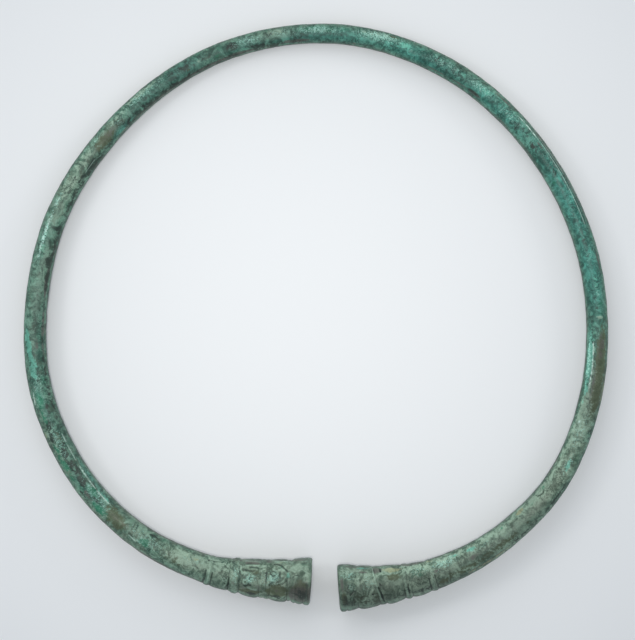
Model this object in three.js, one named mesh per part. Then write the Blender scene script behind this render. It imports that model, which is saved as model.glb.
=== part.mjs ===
// A bronze neck ring (torc) with moulded buffer terminals, about 2,400 years old in style.
//
// One solid casting. It is made in the founder's order: a straight rod is turned with the mouldings
// of its two terminals, the ornament is carved on the swellings, and the rod is then bent round to
// the neck line. Millimetres, +Z up. The ring lies flat with its gap towards -Y, and the origin is
// on the surface it lies on, under the middle of its box.

import * as THREE from 'three';
import { mergeVertices } from 'three/addons/utils/BufferGeometryUtils.js';

// ---------------------------------------------------------------- driving dimensions (mm, degrees)

// Neck line: the bar's centre line seen from above, as bearing (counter-clockwise from +X) and reach
// from the middle of the ring. It starts at the left terminal's end face and finishes at the right's.
// The ring is a little egg-shaped, flattened at the gap, and its ends miss each other slightly.
const NECK_LINE = [
  [268.9, 65.8], [258, 66.5], [246, 68.5], [230, 70.3], [212, 71.1], [190, 70.9], [160, 69.7],
  [132, 69.4], [108, 70.7], [84, 71.3], [60, 70.5], [36, 69.5], [12, 69.8], [-12, 71.1],
  [-33, 72.7], [-50, 72.0], [-64, 70.6], [-76, 68.7], [-85.2, 67.7],
];

// Round bar: thinnest at the back of the neck, stouter at the sides, flaring into the terminals.
const BACK_RADIUS = 2.42;
const LEFT_BAR = { stouter: 0.38, thinsFrom: 120, thinsTo: 205, flare: 0.84, flareLength: 24 };
const RIGHT_BAR = { stouter: 0.22, thinsFrom: 178, thinsTo: 228, flare: 1.30, flareLength: 30 };

// Mouldings of each terminal, from the end face inwards. A moulding swells from the straight line
// between its edge radii to its crown, which stands at `peak`, a share of its length. `rows` is the
// number of steps along it.
const EDGE_ROUND = 0.45;
const FACE_RADIUS = 5.35;
const LEFT_MOULDINGS = [
  { name: 'lip', length: 1.9, from: 5.60, crown: 5.95, to: 5.62, peak: 0.45, rows: 4 },
  { name: 'second ring', length: 1.9, from: 5.62, crown: 5.80, to: 5.42, peak: 0.50, rows: 3 },
  { name: 'third ring', length: 1.2, from: 5.42, crown: 5.55, to: 4.98, peak: 0.35, rows: 3 },
  { name: 'fillet', length: 0.9, from: 4.98, crown: 5.12, to: 5.00, peak: 0.60, rows: 2 },
  { name: 'first belly', length: 4.3, from: 5.00, crown: 5.32, to: 4.80, peak: 0.32, rows: 7 },
  { name: 'collar by the disc', length: 1.3, from: 4.80, crown: 4.96, to: 4.74, peak: 0.5, rows: 3 },
  { name: 'collar by the belly', length: 1.3, from: 4.74, crown: 4.84, to: 4.68, peak: 0.5, rows: 3 },
  { name: 'second belly', length: 5.0, from: 4.68, crown: 4.90, to: 4.12, peak: 0.25, rows: 8 },
  { name: 'beaded collar', length: 2.6, from: 4.12, crown: 4.32, to: 3.92, peak: 0.40, rows: 5 },
  { name: 'third belly', length: 4.4, from: 3.92, crown: 4.05, to: 3.62, peak: 0.32, rows: 5 },
  { name: 'last bead', length: 1.4, from: 3.62, crown: 3.80, to: 3.60, peak: 0.50, rows: 3 },
];
const RIGHT_MOULDINGS = [
  { name: 'lip', length: 1.8, from: 5.65, crown: 5.93, to: 5.72, peak: 0.45, rows: 4 },
  { name: 'disc', length: 3.0, from: 5.72, crown: 5.82, to: 5.18, peak: 0.30, rows: 5 },
  { name: 'first belly', length: 4.6, from: 5.18, crown: 5.40, to: 4.74, peak: 0.35, rows: 7 },
  { name: 'slanting collar', length: 1.8, from: 4.74, crown: 4.88, to: 4.64, peak: 0.5, rows: 4 },
  { name: 'second belly', length: 5.0, from: 4.64, crown: 4.86, to: 4.16, peak: 0.32, rows: 7 },
  { name: 'collar', length: 1.7, from: 4.16, crown: 4.42, to: 4.06, peak: 0.60, rows: 4 },
  { name: 'third belly', length: 4.6, from: 4.06, crown: 4.26, to: 3.76, peak: 0.35, rows: 6 },
  { name: 'last bead', length: 1.6, from: 3.76, crown: 4.02, to: 3.88, peak: 0.60, rows: 3 },
];
const COLLAR_SLANT = 1.0;         // how far the right terminal's collar leans along the bar
const OUTSIDE_STRENGTH = 0.45;    // mouldings stand prouder on the outside than by the neck
const BAR_ROWS = 58;
const SIDES = 32;

// Carved ornament. A stroke follows a path of [distance from the end face, angle round the bar];
// 0 degrees is the outside of the ring, 90 its upper side and 180 the neck side. A boss is a ring
// with a hollow middle. Negative heights are cut in.
const STROKES = [
  { name: 'shoulder leaf', path: [[12.9, 150], [14.9, 144], [17.0, 152]], width: 1.5, height: 0.34 },
  { name: 'groove below it', path: [[12.9, 127], [14.8, 119], [16.6, 124]], width: 0.7, height: -0.30 },
  { name: 'tendril', path: [[17.4, 110], [15.9, 97], [14.6, 88], [13.9, 70]], width: 0.8, height: 0.34 },
  { name: 'outer leaf', path: [[15.4, 58], [14.3, 50], [13.2, 50]], width: 1.1, height: 0.24 },
  { name: 'disc leaf', path: [[8.6, 148], [7.2, 142], [5.8, 136]], width: 1.2, height: 0.30 },
  { name: 'arc groove', path: [[8.7, 131], [7.5, 126], [6.4, 117]], width: 0.7, height: -0.28 },
  { name: 'scroll', path: [[9.3, 121], [8.6, 111], [9.7, 99], [9.5, 86], [8.4, 79]], width: 0.8, height: 0.36 },
  { name: 'middle leaf', path: [[7.7, 97], [6.7, 91], [5.8, 90]], width: 1.2, height: 0.22 },
];
const BOSSES = [
  { name: 'large boss', at: [16.3, 73], radius: 0.95, height: 0.42, hollow: 0.30 },
  { name: 'small boss', at: [21.4, 66], radius: 0.80, height: 0.30, hollow: 0.20 },
];
const LEFT_CARVING = { upper: 1.0, under: 0.55 };     // share of full height left by wear
const RIGHT_CARVING = { upper: 0.45, under: 0.30 };

// ------------------------------------------------------------------------------------ small helpers

const RAD = Math.PI / 180;
const sum = (list) => list.reduce((total, value) => total + value, 0);
const smooth = (from, to, value) => THREE.MathUtils.smoothstep(value, from, to);

/** Rise of a moulding, 0 at both edges and 1 at its crown. */
function swell(share, peak) {
  const side = share < peak ? (peak - share) / peak : (share - peak) / (1 - peak);
  return Math.pow(Math.max(0, 1 - side * side), 0.6);
}

// -------------------------------------------------------------------------------------- the neck line

const neckLine = new THREE.CatmullRomCurve3(
  NECK_LINE.map(([bearing, reach]) => new THREE.Vector3(
    reach * Math.cos(bearing * RAD), reach * Math.sin(bearing * RAD), 0)),
  false, 'centripetal');
neckLine.arcLengthDivisions = 2000;
const BAR_LENGTH = neckLine.getLength();

// ------------------------------------------------------------------------------- profile of the rod

/** Bar radius between the terminals, at a distance along the rod from the left end face. */
function barRadius(along) {
  const leftEnd = sum(LEFT_MOULDINGS.map((m) => m.length));
  const rightEnd = sum(RIGHT_MOULDINGS.map((m) => m.length));
  const grow = (bar, distance, start) => bar.stouter * (1 - smooth(bar.thinsFrom, bar.thinsTo, distance))
    + bar.flare * Math.exp(-(distance - start) / bar.flareLength);
  const fromRight = BAR_LENGTH - along;
  const left = grow(LEFT_BAR, along, leftEnd);
  const right = grow(RIGHT_BAR, fromRight, rightEnd);
  return BACK_RADIUS + Math.max(left, right);
}

/** Rows of one terminal from its end face inwards: distance, plain radius and swelling. */
function terminalRows(mouldings) {
  const rows = [
    { distance: 0, base: 0, rise: 0 },
    { distance: 0, base: FACE_RADIUS, rise: 0 },
    { distance: EDGE_ROUND * 0.3, base: (FACE_RADIUS + mouldings[0].from) / 2 + 0.05, rise: 0 },
  ];
  let start = 0;
  for (const m of mouldings) {
    for (let row = 1; row <= m.rows; row += 1) {
      const share = row / m.rows;
      const base = THREE.MathUtils.lerp(m.from, m.to, share);
      const rise = (m.crown - THREE.MathUtils.lerp(m.from, m.to, m.peak)) * swell(share, m.peak);
      rows.push({ distance: start + share * m.length, base, rise });
    }
    start += m.length;
  }
  return rows;
}

/** The whole rod from the left end face to the right: distance along, plain radius, swelling. */
function rodRows() {
  const left = terminalRows(LEFT_MOULDINGS);
  const right = terminalRows(RIGHT_MOULDINGS)
    .map((row) => ({ ...row, distance: BAR_LENGTH - row.distance })).reverse();
  const barFrom = left.at(-1).distance;
  const barTo = right[0].distance;
  const bar = [];
  for (let row = 1; row < BAR_ROWS; row += 1) {
    const distance = THREE.MathUtils.lerp(barFrom, barTo, row / BAR_ROWS);
    bar.push({ distance, base: barRadius(distance), rise: 0 });
  }
  return [...left, ...bar, ...right];
}

// ------------------------------------------------------------------------------------- the carving

/** Shortest distance from a point to a path, both on the unrolled surface of a bar. */
function distanceToPath(point, path) {
  let nearest = Infinity;
  for (let leg = 1; leg < path.length; leg += 1) {
    const line = new THREE.Line3(path[leg - 1], path[leg]);
    const foot = line.closestPointToPoint(point, true, new THREE.Vector3());
    nearest = Math.min(nearest, foot.distanceTo(point));
  }
  return nearest;
}

/** Height of the ornament at a distance from the end face and an angle round the bar. */
function carving(distance, angle, radius) {
  const unrolled = ([along, degrees]) => new THREE.Vector3(along, degrees * RAD * radius, 0);
  const point = unrolled([distance, angle]);
  let height = 0;
  for (const stroke of STROKES) {
    const away = distanceToPath(point, stroke.path.map(unrolled));
    height += stroke.height * (1 - smooth(0, stroke.width, away));
  }
  for (const boss of BOSSES) {
    const away = unrolled(boss.at).distanceTo(point);
    const ring = 1 - smooth(boss.radius * 0.5, boss.radius * 1.3, away);
    const middle = 1 - smooth(0, boss.radius * 0.5, away);
    height += boss.height * ring - boss.hollow * middle;
  }
  return height;
}

/** Ornament on both faces of a terminal: full on the upper side, plainer underneath. */
function terminalCarving(distance, angle, radius, wear) {
  const upper = carving(distance, angle, radius);
  const under = carving(distance, -angle, radius);
  return upper * wear.upper + under * wear.under;
}

// ------------------------------------------------------------------------- turning, carving, bending

/** Turn the straight rod about the Y axis, with its shared vertices merged. */
function turnRod(rows) {
  // Bending swaps the rod's left and right hand, so the profile runs backwards to keep faces outward.
  const profile = rows.map((row) => new THREE.Vector2(row.base + row.rise, row.distance)).reverse();
  const rod = new THREE.LatheGeometry(profile, SIDES);
  rod.deleteAttribute('normal');
  rod.deleteAttribute('uv');
  return mergeVertices(rod, 1e-4);
}

/** Carve the rod and bend it round the neck line. */
function carveAndBend(rod, rows) {
  const leftEnd = sum(LEFT_MOULDINGS.map((m) => m.length));
  const rightEnd = sum(RIGHT_MOULDINGS.map((m) => m.length));
  const slantFrom = sum(RIGHT_MOULDINGS.slice(0, 3).map((m) => m.length));
  const rise = new Map(rows.map((row) => [row.distance.toFixed(3), row.rise]));
  const up = new THREE.Vector3(0, 0, 1);
  const position = rod.getAttribute('position');
  const vertex = new THREE.Vector3();
  for (let i = 0; i < position.count; i += 1) {
    vertex.fromBufferAttribute(position, i);
    let along = vertex.y;
    let radius = Math.hypot(vertex.x, vertex.z);
    const angle = Math.atan2(vertex.z, vertex.x) / RAD;
    const outside = Math.cos(angle * RAD);
    const fromRight = BAR_LENGTH - along;
    if (radius > FACE_RADIUS * 0.5 || (along > EDGE_ROUND && fromRight > EDGE_ROUND)) {
      radius += (rise.get(along.toFixed(3)) ?? 0) * OUTSIDE_STRENGTH * outside;
      if (along < leftEnd && along > EDGE_ROUND) {
        radius += terminalCarving(along, angle, radius, LEFT_CARVING);
      }
      if (fromRight < rightEnd && fromRight > EDGE_ROUND) {
        radius += terminalCarving(fromRight, angle, radius, RIGHT_CARVING);
        const nearCollar = 1 - smooth(0, 3, Math.abs(fromRight - slantFrom - 0.5));
        along -= COLLAR_SLANT * outside * nearCollar * 0.5;
      }
    }
    const share = THREE.MathUtils.clamp(along / BAR_LENGTH, 0, 1);
    const centre = neckLine.getPointAt(share);
    const outward = new THREE.Vector3().crossVectors(up, neckLine.getTangentAt(share));
    vertex.copy(centre)
      .addScaledVector(outward, radius * outside)
      .addScaledVector(up, radius * Math.sin(angle * RAD));
    position.setXYZ(i, vertex.x, vertex.y, vertex.z);
  }
  rod.computeVertexNormals();
  return rod;
}

// ------------------------------------------------------------------------------------------ the torc

const rows = rodRows();
const torc = new THREE.Mesh(
  carveAndBend(turnRod(rows), rows),
  new THREE.MeshStandardMaterial({ color: 0x4a8572, roughness: 0.55, metalness: 0.2 }));
torc.name = 'torc';

// The ring lies on the undersides of its two fat terminals and on its thin back, so it leans a little.
const lean = new THREE.Group();
lean.rotation.x = -Math.atan((LEFT_MOULDINGS[0].crown - BACK_RADIUS) / (2 * NECK_LINE[0][1]));
lean.add(torc);
lean.updateMatrixWorld(true);
const box = new THREE.Box3().setFromObject(lean, true);
lean.position.set(-(box.min.x + box.max.x) / 2, -(box.min.y + box.max.y) / 2, -box.min.z);

const part = new THREE.Group();
part.add(lean);
export default part;
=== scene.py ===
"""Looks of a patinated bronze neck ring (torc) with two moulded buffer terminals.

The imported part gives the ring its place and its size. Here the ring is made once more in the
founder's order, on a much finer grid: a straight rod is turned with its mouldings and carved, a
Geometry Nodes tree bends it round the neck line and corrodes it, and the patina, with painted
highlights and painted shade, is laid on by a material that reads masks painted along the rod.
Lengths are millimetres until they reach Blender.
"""

import logging
import math
from dataclasses import dataclass, field
from enum import Enum

import bpy
import numpy as np
from mathutils import Matrix, Vector


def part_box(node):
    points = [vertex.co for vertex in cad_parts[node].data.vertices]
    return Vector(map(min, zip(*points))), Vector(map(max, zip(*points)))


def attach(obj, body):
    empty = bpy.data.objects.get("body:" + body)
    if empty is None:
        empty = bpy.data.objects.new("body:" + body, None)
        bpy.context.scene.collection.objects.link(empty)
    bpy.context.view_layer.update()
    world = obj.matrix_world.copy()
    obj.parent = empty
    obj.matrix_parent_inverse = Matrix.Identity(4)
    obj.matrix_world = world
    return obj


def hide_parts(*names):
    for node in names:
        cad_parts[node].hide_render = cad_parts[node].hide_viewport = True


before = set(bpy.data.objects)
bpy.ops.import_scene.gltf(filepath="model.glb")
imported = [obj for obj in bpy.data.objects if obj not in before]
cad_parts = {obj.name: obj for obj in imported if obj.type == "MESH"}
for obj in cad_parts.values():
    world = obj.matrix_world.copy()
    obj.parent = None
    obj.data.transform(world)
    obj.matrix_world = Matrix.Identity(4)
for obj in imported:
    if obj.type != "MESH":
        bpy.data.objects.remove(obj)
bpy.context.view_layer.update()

log = logging.getLogger("torc")

MM = 0.001                      # one millimetre in Blender's metres
NODE = "torc"
BODY = "root"
SEED = 7.3                      # the one seed that all noise is offset by
NOISE_MIDDLE = 0.5              # a noise runs from 0 to 1 about this value
FAR = 1e3                       # farther than any place on a terminal
TINY = 1e-9                     # keeps a length from being nothing
SLACK = 1e-6                    # lets a ring on a border count as inside
FLANK = 0.97                    # greatest share of the radius at which ornament can be placed

Colour = tuple[float, float, float, float]
Span = tuple[float, float]      # where a smooth rise starts and where it ends
Pair = tuple[float, float]      # a level everywhere, and what a mask or a noise adds to it


# --------------------------------------------------------------------------------- small helpers


def colour(red: float, green: float, blue: float) -> Colour:
    """Turn a colour seen on a screen, 0 to 255, into the linear colour that shaders take.

    Args:
        red: Red as seen, 0 to 255.
        green: Green as seen, 0 to 255.
        blue: Blue as seen, 0 to 255.

    Returns:
        Linear red, green, blue and a full alpha.
    """
    seen = (red / 255, green / 255, blue / 255)
    linear = [c / 12.92 if c <= 0.04045 else ((c + 0.055) / 1.055) ** 2.4 for c in seen]
    return (linear[0], linear[1], linear[2], 1.0)


def smooth(low: float, high: float, value: np.ndarray) -> np.ndarray:
    """Rise smoothly from 0 at low to 1 at high.

    Args:
        low: Value where the rise starts.
        high: Value where the rise ends.
        value: Values to place on the rise.

    Returns:
        The rise at each value.
    """
    share = np.clip((value - low) / (high - low), 0.0, 1.0)
    return share * share * (3 - 2 * share)


# ------------------------------------------------------------------------------- node tree bench


class Signal:
    """A node socket that takes part in Python arithmetic by adding Math nodes."""

    def __init__(self, bench: "Bench", socket: bpy.types.NodeSocket) -> None:
        """Wrap one output socket of a bench's tree."""
        self.bench = bench
        self.socket = socket

    def _math(self, operation: str, first: "Signal | float", second: "Signal | float") -> "Signal":
        """Add one Math node and return its result."""
        return self.bench.out("ShaderNodeMath", {"operation": operation}, {0: first, 1: second})

    def __add__(self, other: "Signal | float") -> "Signal":
        """Sum."""
        return self._math("ADD", self, other)

    __radd__ = __add__

    def __sub__(self, other: "Signal | float") -> "Signal":
        """Difference."""
        return self._math("SUBTRACT", self, other)

    def __rsub__(self, other: float) -> "Signal":
        """Difference from a number."""
        return self._math("SUBTRACT", other, self)

    def __mul__(self, other: "Signal | float") -> "Signal":
        """Product."""
        return self._math("MULTIPLY", self, other)

    __rmul__ = __mul__

    def __truediv__(self, other: "Signal | float") -> "Signal":
        """Quotient."""
        return self._math("DIVIDE", self, other)

    def __rtruediv__(self, other: float) -> "Signal":
        """Number over this value."""
        return self._math("DIVIDE", other, self)

    def least(self, other: "Signal | float") -> "Signal":
        """The lesser of two values."""
        return self._math("MINIMUM", self, other)

    def most(self, other: "Signal | float") -> "Signal":
        """The greater of two values."""
        return self._math("MAXIMUM", self, other)

    def rise(self, low: float, high: float) -> "Signal":
        """Rise smoothly from 0 where the value is low to 1 where it is high."""
        return self.bench.out(
            "ShaderNodeMapRange", {"interpolation_type": "SMOOTHSTEP", "clamp": True},
            {"Value": self, "From Min": low, "From Max": high})


@dataclass(frozen=True)
class Noise:
    """One seeded noise of the finish.

    Attributes:
        per_mm: How many blotches it has in a millimetre.
        detail: How many finer noises are laid over it.
        roughness: How strong the finer noises are.
        distortion: How much it curls.
        shift: Its own offset from the common seed.
    """

    per_mm: float
    detail: float
    roughness: float
    distortion: float
    shift: float


class Bench:
    """A node tree with one way to add any node, shared by the material and the bending tree."""

    def __init__(self, tree: bpy.types.NodeTree) -> None:
        """Work on an empty or cleared node tree."""
        self.tree = tree

    def node(self, kind: str, settings: dict | None = None,
             sockets: dict | None = None) -> bpy.types.Node:
        """Add a node, set it up, then fill its sockets.

        Args:
            kind: Blender's name for the node type.
            settings: Properties set before any socket, such as an operation.
            sockets: Socket name, identifier or index, with the value or link that it takes.

        Returns:
            The new node.
        """
        made = self.tree.nodes.new(kind)
        for name, value in (settings or {}).items():
            setattr(made, name, value)
        for key, value in (sockets or {}).items():
            target = self._find(made, key)
            if isinstance(value, Signal):
                self.tree.links.new(value.socket, target)
            else:
                target.default_value = value
        return made

    def out(self, kind: str, settings: dict | None = None, sockets: dict | None = None,
            output: str | int = 0) -> Signal:
        """Add a node and return one of its outputs as a signal."""
        return Signal(self, self.node(kind, settings, sockets).outputs[output])

    def mix(self, low: "Signal | tuple", high: "Signal | tuple", factor: "Signal | float") -> Signal:
        """Blend two colours."""
        made = self.node("ShaderNodeMix", {"data_type": "RGBA", "clamp_factor": True},
                         {"Factor_Float": factor, "A_Color": low, "B_Color": high})
        return Signal(self, made.outputs[2])

    def noise(self, place: Signal, noise: Noise) -> Signal:
        """Add one seeded noise, read at places in millimetres."""
        return self.out(
            "ShaderNodeTexNoise", {"noise_dimensions": "4D"},
            {"Vector": place, "W": SEED + noise.shift, "Scale": noise.per_mm, "Detail": noise.detail,
             "Roughness": noise.roughness, "Distortion": noise.distortion})

    def scaled(self, place: Signal, factor: Signal | float) -> Signal:
        """A vector times a number."""
        return self.out("ShaderNodeVectorMath", {"operation": "SCALE"},
                        {"Vector": place, "Scale": factor})

    @staticmethod
    def _find(made: bpy.types.Node, key: str | int) -> bpy.types.NodeSocket:
        """Find an input of a node.

        Args:
            made: The node.
            key: Index, identifier or name of the input.

        Returns:
            The input socket.
        """
        if isinstance(key, int):
            return made.inputs[key]
        for socket in made.inputs:
            if socket.identifier == key:
                return socket
        return made.inputs[key]


# ---------------------------------------------------------------------------------- the neck line


@dataclass(frozen=True)
class NeckLine:
    """Centre line of the bar seen from above, from the left terminal's end to the right's."""

    stations: tuple[tuple[float, float], ...] = (
        (268.9, 65.8), (258, 66.5), (246, 68.5), (230, 70.3), (212, 71.1), (190, 70.9), (160, 69.7),
        (132, 69.4), (108, 70.7), (84, 71.3), (60, 70.5), (36, 69.5), (12, 69.8), (-12, 71.1),
        (-33, 72.7), (-50, 72.0), (-64, 70.6), (-76, 68.7), (-85.2, 67.7),
    )
    steps_per_leg: int = 120

    def points(self) -> np.ndarray:
        """Work out the smooth line through the stations, each a bearing and a reach.

        Returns:
            Points in the ring's own plane, in millimetres.
        """
        bearing, reach = np.radians([b for b, _ in self.stations]), [r for _, r in self.stations]
        knots = np.column_stack([reach * np.cos(bearing), reach * np.sin(bearing)])
        knots = np.vstack([2 * knots[0] - knots[1], knots, 2 * knots[-1] - knots[-2]])
        share = np.linspace(0, 1, self.steps_per_leg, endpoint=False)[:, None]
        legs = [self._leg(knots[i:i + 4], share) for i in range(len(knots) - 3)]
        return np.vstack([*legs, knots[-2]])

    def length(self) -> float:
        """Length of the line in millimetres."""
        return float(np.linalg.norm(np.diff(self.points(), axis=0), axis=1).sum())

    def curve(self) -> bpy.types.Object:
        """Lay the line as a poly curve in the ring's own plane.

        Returns:
            The curve object.
        """
        data = bpy.data.curves.new("neck_line", "CURVE")
        data.dimensions = "3D"
        spline = data.splines.new("POLY")
        points = self.points() * MM
        spline.points.add(len(points) - 1)
        for knot, (x, y) in zip(spline.points, points):
            knot.co = (x, y, 0, 1)
        made = bpy.data.objects.new("neck_line", data)
        bpy.context.scene.collection.objects.link(made)
        return made

    @staticmethod
    def _leg(knots: np.ndarray, share: np.ndarray) -> np.ndarray:
        """Draw one leg of a centripetal spline, between the middle two of four knots.

        Args:
            knots: The four knots.
            share: Shares of the leg at which points are wanted.

        Returns:
            The points.
        """
        first, start, stop, last = knots
        before, across, after = (math.sqrt(np.linalg.norm(b - a)) for a, b in zip(knots, knots[1:]))
        direct = (stop - start) / across
        leave = (start - first) / before - (stop - first) / (before + across) + direct
        reach = direct - (last - start) / (across + after) + (last - stop) / after
        leave, reach = leave * across, reach * across
        square = -3 * start + 3 * stop - 2 * leave - reach
        cube = 2 * start - 2 * stop + leave + reach
        return start + leave * share + square * share ** 2 + cube * share ** 3


# ------------------------------------------------------------------------ mouldings and carving


@dataclass(frozen=True)
class Moulding:
    """One swelling of a terminal, from the end face inwards, in millimetres.

    Attributes:
        name: What it is.
        length: Its length along the bar.
        start: Radius where it starts.
        crown: Greatest radius.
        finish: Radius where it ends.
        peak: Share of its length at which it is greatest.
        fullness: Power that shapes its bulge, less being fuller.
    """

    name: str
    length: float
    start: float
    crown: float
    finish: float
    peak: float
    fullness: float = 0.6

    def section(self, share: np.ndarray) -> tuple[np.ndarray, np.ndarray]:
        """Plain radius and swelling of the moulding.

        Args:
            share: Shares of its length.

        Returns:
            The radius without the swelling, and the swelling.
        """
        base = self.start + (self.finish - self.start) * share
        side = np.where(share < self.peak, (self.peak - share) / self.peak,
                        (share - self.peak) / (1 - self.peak))
        height = self.crown - (self.start + (self.finish - self.start) * self.peak)
        return base, height * np.clip(1 - side ** 2, 0, 1) ** self.fullness


@dataclass(frozen=True)
class Stroke:
    """A carved ridge, or a groove when its height is negative, seen from above.

    Attributes:
        path: Places, each a distance from the end face, and a distance across the bar from its
            middle, outwards of the ring being positive.
        width: How far it reaches to either side of its path.
        height: How far it stands out of the surface.
    """

    path: tuple[tuple[float, float], ...]
    width: float
    height: float


@dataclass(frozen=True)
class Boss:
    """A carved round boss with a hollow middle, seen from above.

    Attributes:
        along: Distance of its middle from the end face.
        across: Distance of its middle from the middle of the bar.
        radius: Its radius.
        height: How far it stands out.
        hollow: How deep its middle is sunk.
        rim: Shares of the radius between which it falls away.
        dip: Share of the radius over which the hollow rises.
    """

    along: float
    across: float
    radius: float
    height: float
    hollow: float
    rim: Span = (0.55, 1.15)
    dip: float = 0.6


@dataclass(frozen=True)
class CoilBand:
    """A row of small coils that runs all round a collar, each a ring round a dot.

    Attributes:
        along: Distance of the row from the end face.
        pitch: Distance from coil to coil.
        radius: Radius of a coil.
        height: How far it stands out.
        ring_width: Width of its ring, as a share of its radius.
        dot_width: Width of its dot, as a share of its radius.
        dot_height: Height of its dot, as a share of its own height.
        edge: Distance at which the row has faded, as a share of the radius.
        drift: Share of the pitch that the row turns by in a millimetre along the bar.
        fewest: Least number of coils.
        reach: How far from the row the bar's girth is still taken.
    """

    along: float
    pitch: float
    radius: float
    height: float
    ring_width: float = 0.36
    dot_width: float = 0.34
    dot_height: float = 0.6
    edge: float = 1.7
    drift: float = 0.5
    fewest: int = 6
    reach: float = 0.5


class Unrolled:
    """Vertices of one terminal laid flat, to measure how far they are from carved ornament."""

    def __init__(self, along: np.ndarray, angle: np.ndarray, radius: np.ndarray) -> None:
        """Keep where the vertices are.

        Args:
            along: Distance of each vertex from the end face.
            angle: Its angle round the bar.
            radius: Its radius.
        """
        self.along = along
        self.angle = angle
        self.radius = radius

    def away(self, along: float, angle: float) -> np.ndarray:
        """Distance from every vertex to one place on the surface."""
        turn = np.angle(np.exp(1j * (self.angle - angle)))
        return np.hypot(self.along - along, turn * self.radius)

    def away_from_path(self, path: list[tuple[float, float]]) -> np.ndarray:
        """Distance from every vertex to a path on the surface.

        Args:
            path: Places along the path, each a distance from the end face and an angle.

        Returns:
            The least distance of each vertex.
        """
        nearest = np.full(self.along.shape, FAR)
        for (a0, t0), (a1, t1) in zip(path, path[1:]):
            turn = np.angle(np.exp(1j * (self.angle - t0))) * self.radius
            run, lift = a1 - a0, (t1 - t0) * self.radius
            square = run ** 2 + lift ** 2 + TINY
            share = np.clip(((self.along - a0) * run + turn * lift) / square, 0, 1)
            away = np.hypot(self.along - a0 - share * run, turn - share * lift)
            nearest = np.minimum(nearest, away)
        return nearest


@dataclass(frozen=True)
class Carving:
    """The ornament of one terminal, cut on its upper side and, plainer, underneath."""

    strokes: tuple[Stroke, ...] = ()
    bosses: tuple[Boss, ...] = ()
    bands: tuple[CoilBand, ...] = ()
    upper: float = 1.0
    under: float = 0.5

    def height(self, place: Unrolled, plain: "Terminal") -> np.ndarray:
        """Height of the ornament.

        Args:
            place: The terminal's vertices, laid flat.
            plain: The terminal without ornament.

        Returns:
            Height over each vertex.
        """
        total = np.zeros(place.along.shape)
        for side, strength in ((1, self.upper), (-1, self.under)):
            for stroke in self.strokes:
                path = [(s, side * plain.angle_at(s, t)) for s, t in stroke.path]
                away = place.away_from_path(path)
                total += strength * stroke.height * (1 - smooth(0, stroke.width, away))
            for boss in self.bosses:
                away = place.away(boss.along, side * plain.angle_at(boss.along, boss.across))
                inner, outer = (boss.radius * share for share in boss.rim)
                ring = 1 - smooth(inner, outer, away)
                dip = 1 - smooth(0, boss.radius * boss.dip, away)
                total += strength * (boss.height * ring - boss.hollow * dip)
        for band in self.bands:
            total += self.upper * self._coils(place, band)
        return total

    @staticmethod
    def _coils(place: Unrolled, band: CoilBand) -> np.ndarray:
        """Height of a row of coils, each a small ring round a dot.

        Args:
            place: The terminal's vertices, laid flat.
            band: The row.

        Returns:
            Height over each vertex.
        """
        beside = np.abs(place.along - band.along)
        girth = math.tau * float(place.radius[beside < band.reach].mean())
        count = max(band.fewest, round(girth / band.pitch))
        turn = (place.angle / math.tau * count + band.drift * place.along) % 1.0 - 0.5
        away = np.hypot(turn * band.pitch, place.along - band.along)
        ring = np.exp(-((away - band.radius) / (band.ring_width * band.radius)) ** 2)
        dot = band.dot_height * np.exp(-(away / (band.dot_width * band.radius)) ** 2)
        inside = 1 - smooth(band.radius, band.radius * band.edge, beside)
        return band.height * inside * (ring + dot)


@dataclass(frozen=True)
class Terminal:
    """A buffer terminal: its mouldings, its carving and how its collar leans.

    Attributes:
        mouldings: Its swellings, from the end face inwards.
        carving: Its ornament.
        face_radius: Radius of the flat end face.
        edge_round: Rounding of the edge of the end face.
        face_dome: How far the end face bulges.
        outside_strength: How much more the mouldings swell on the outside of the ring.
        collar_at: Distance of a leaning collar from the end face.
        collar_slant: How far that collar leans from the inside to the outside, 0 for upright.
        slant_reach: Distance from the collar at which the leaning has faded.
    """

    mouldings: tuple[Moulding, ...]
    carving: Carving
    face_radius: float = 5.35
    edge_round: float = 0.45
    face_dome: float = 0.12
    outside_strength: float = 0.45
    collar_at: float = 0.0
    collar_slant: float = 0.0
    slant_reach: float = 3.0

    @property
    def length(self) -> float:
        """Length from the end face to the plain bar."""
        return sum(m.length for m in self.mouldings)

    def section(self, along: np.ndarray) -> tuple[np.ndarray, np.ndarray]:
        """Plain radius and swelling at distances from the end face.

        Args:
            along: Distances from the end face.

        Returns:
            The radius without its swelling, and the swelling.
        """
        base, rise = np.zeros_like(along), np.zeros_like(along)
        start = 0.0
        for moulding in self.mouldings:
            here = (along >= start - TINY) & (along <= start + moulding.length + TINY)
            share = np.clip((along[here] - start) / moulding.length, 0, 1)
            base[here], rise[here] = moulding.section(share)
            start += moulding.length
        corner = np.clip(1 - along / self.edge_round, 0, 1)
        base -= (self.mouldings[0].start - self.face_radius) * (1 - np.sqrt(1 - corner ** 2))
        return base, rise

    def angle_at(self, along: float, across: float) -> float:
        """Angle round the bar of a place seen from above on its upper side."""
        base, rise = self.section(np.array([min(along, self.length)]))
        return math.acos(max(-FLANK, min(FLANK, across / float(base[0] + rise[0]))))

    def slant(self, along: np.ndarray, outside: np.ndarray) -> np.ndarray:
        """How far the collar's leaning shifts a vertex towards the end face."""
        near = 1 - smooth(0, self.slant_reach, np.abs(along - self.collar_at))
        return -0.5 * self.collar_slant * outside * near


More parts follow.
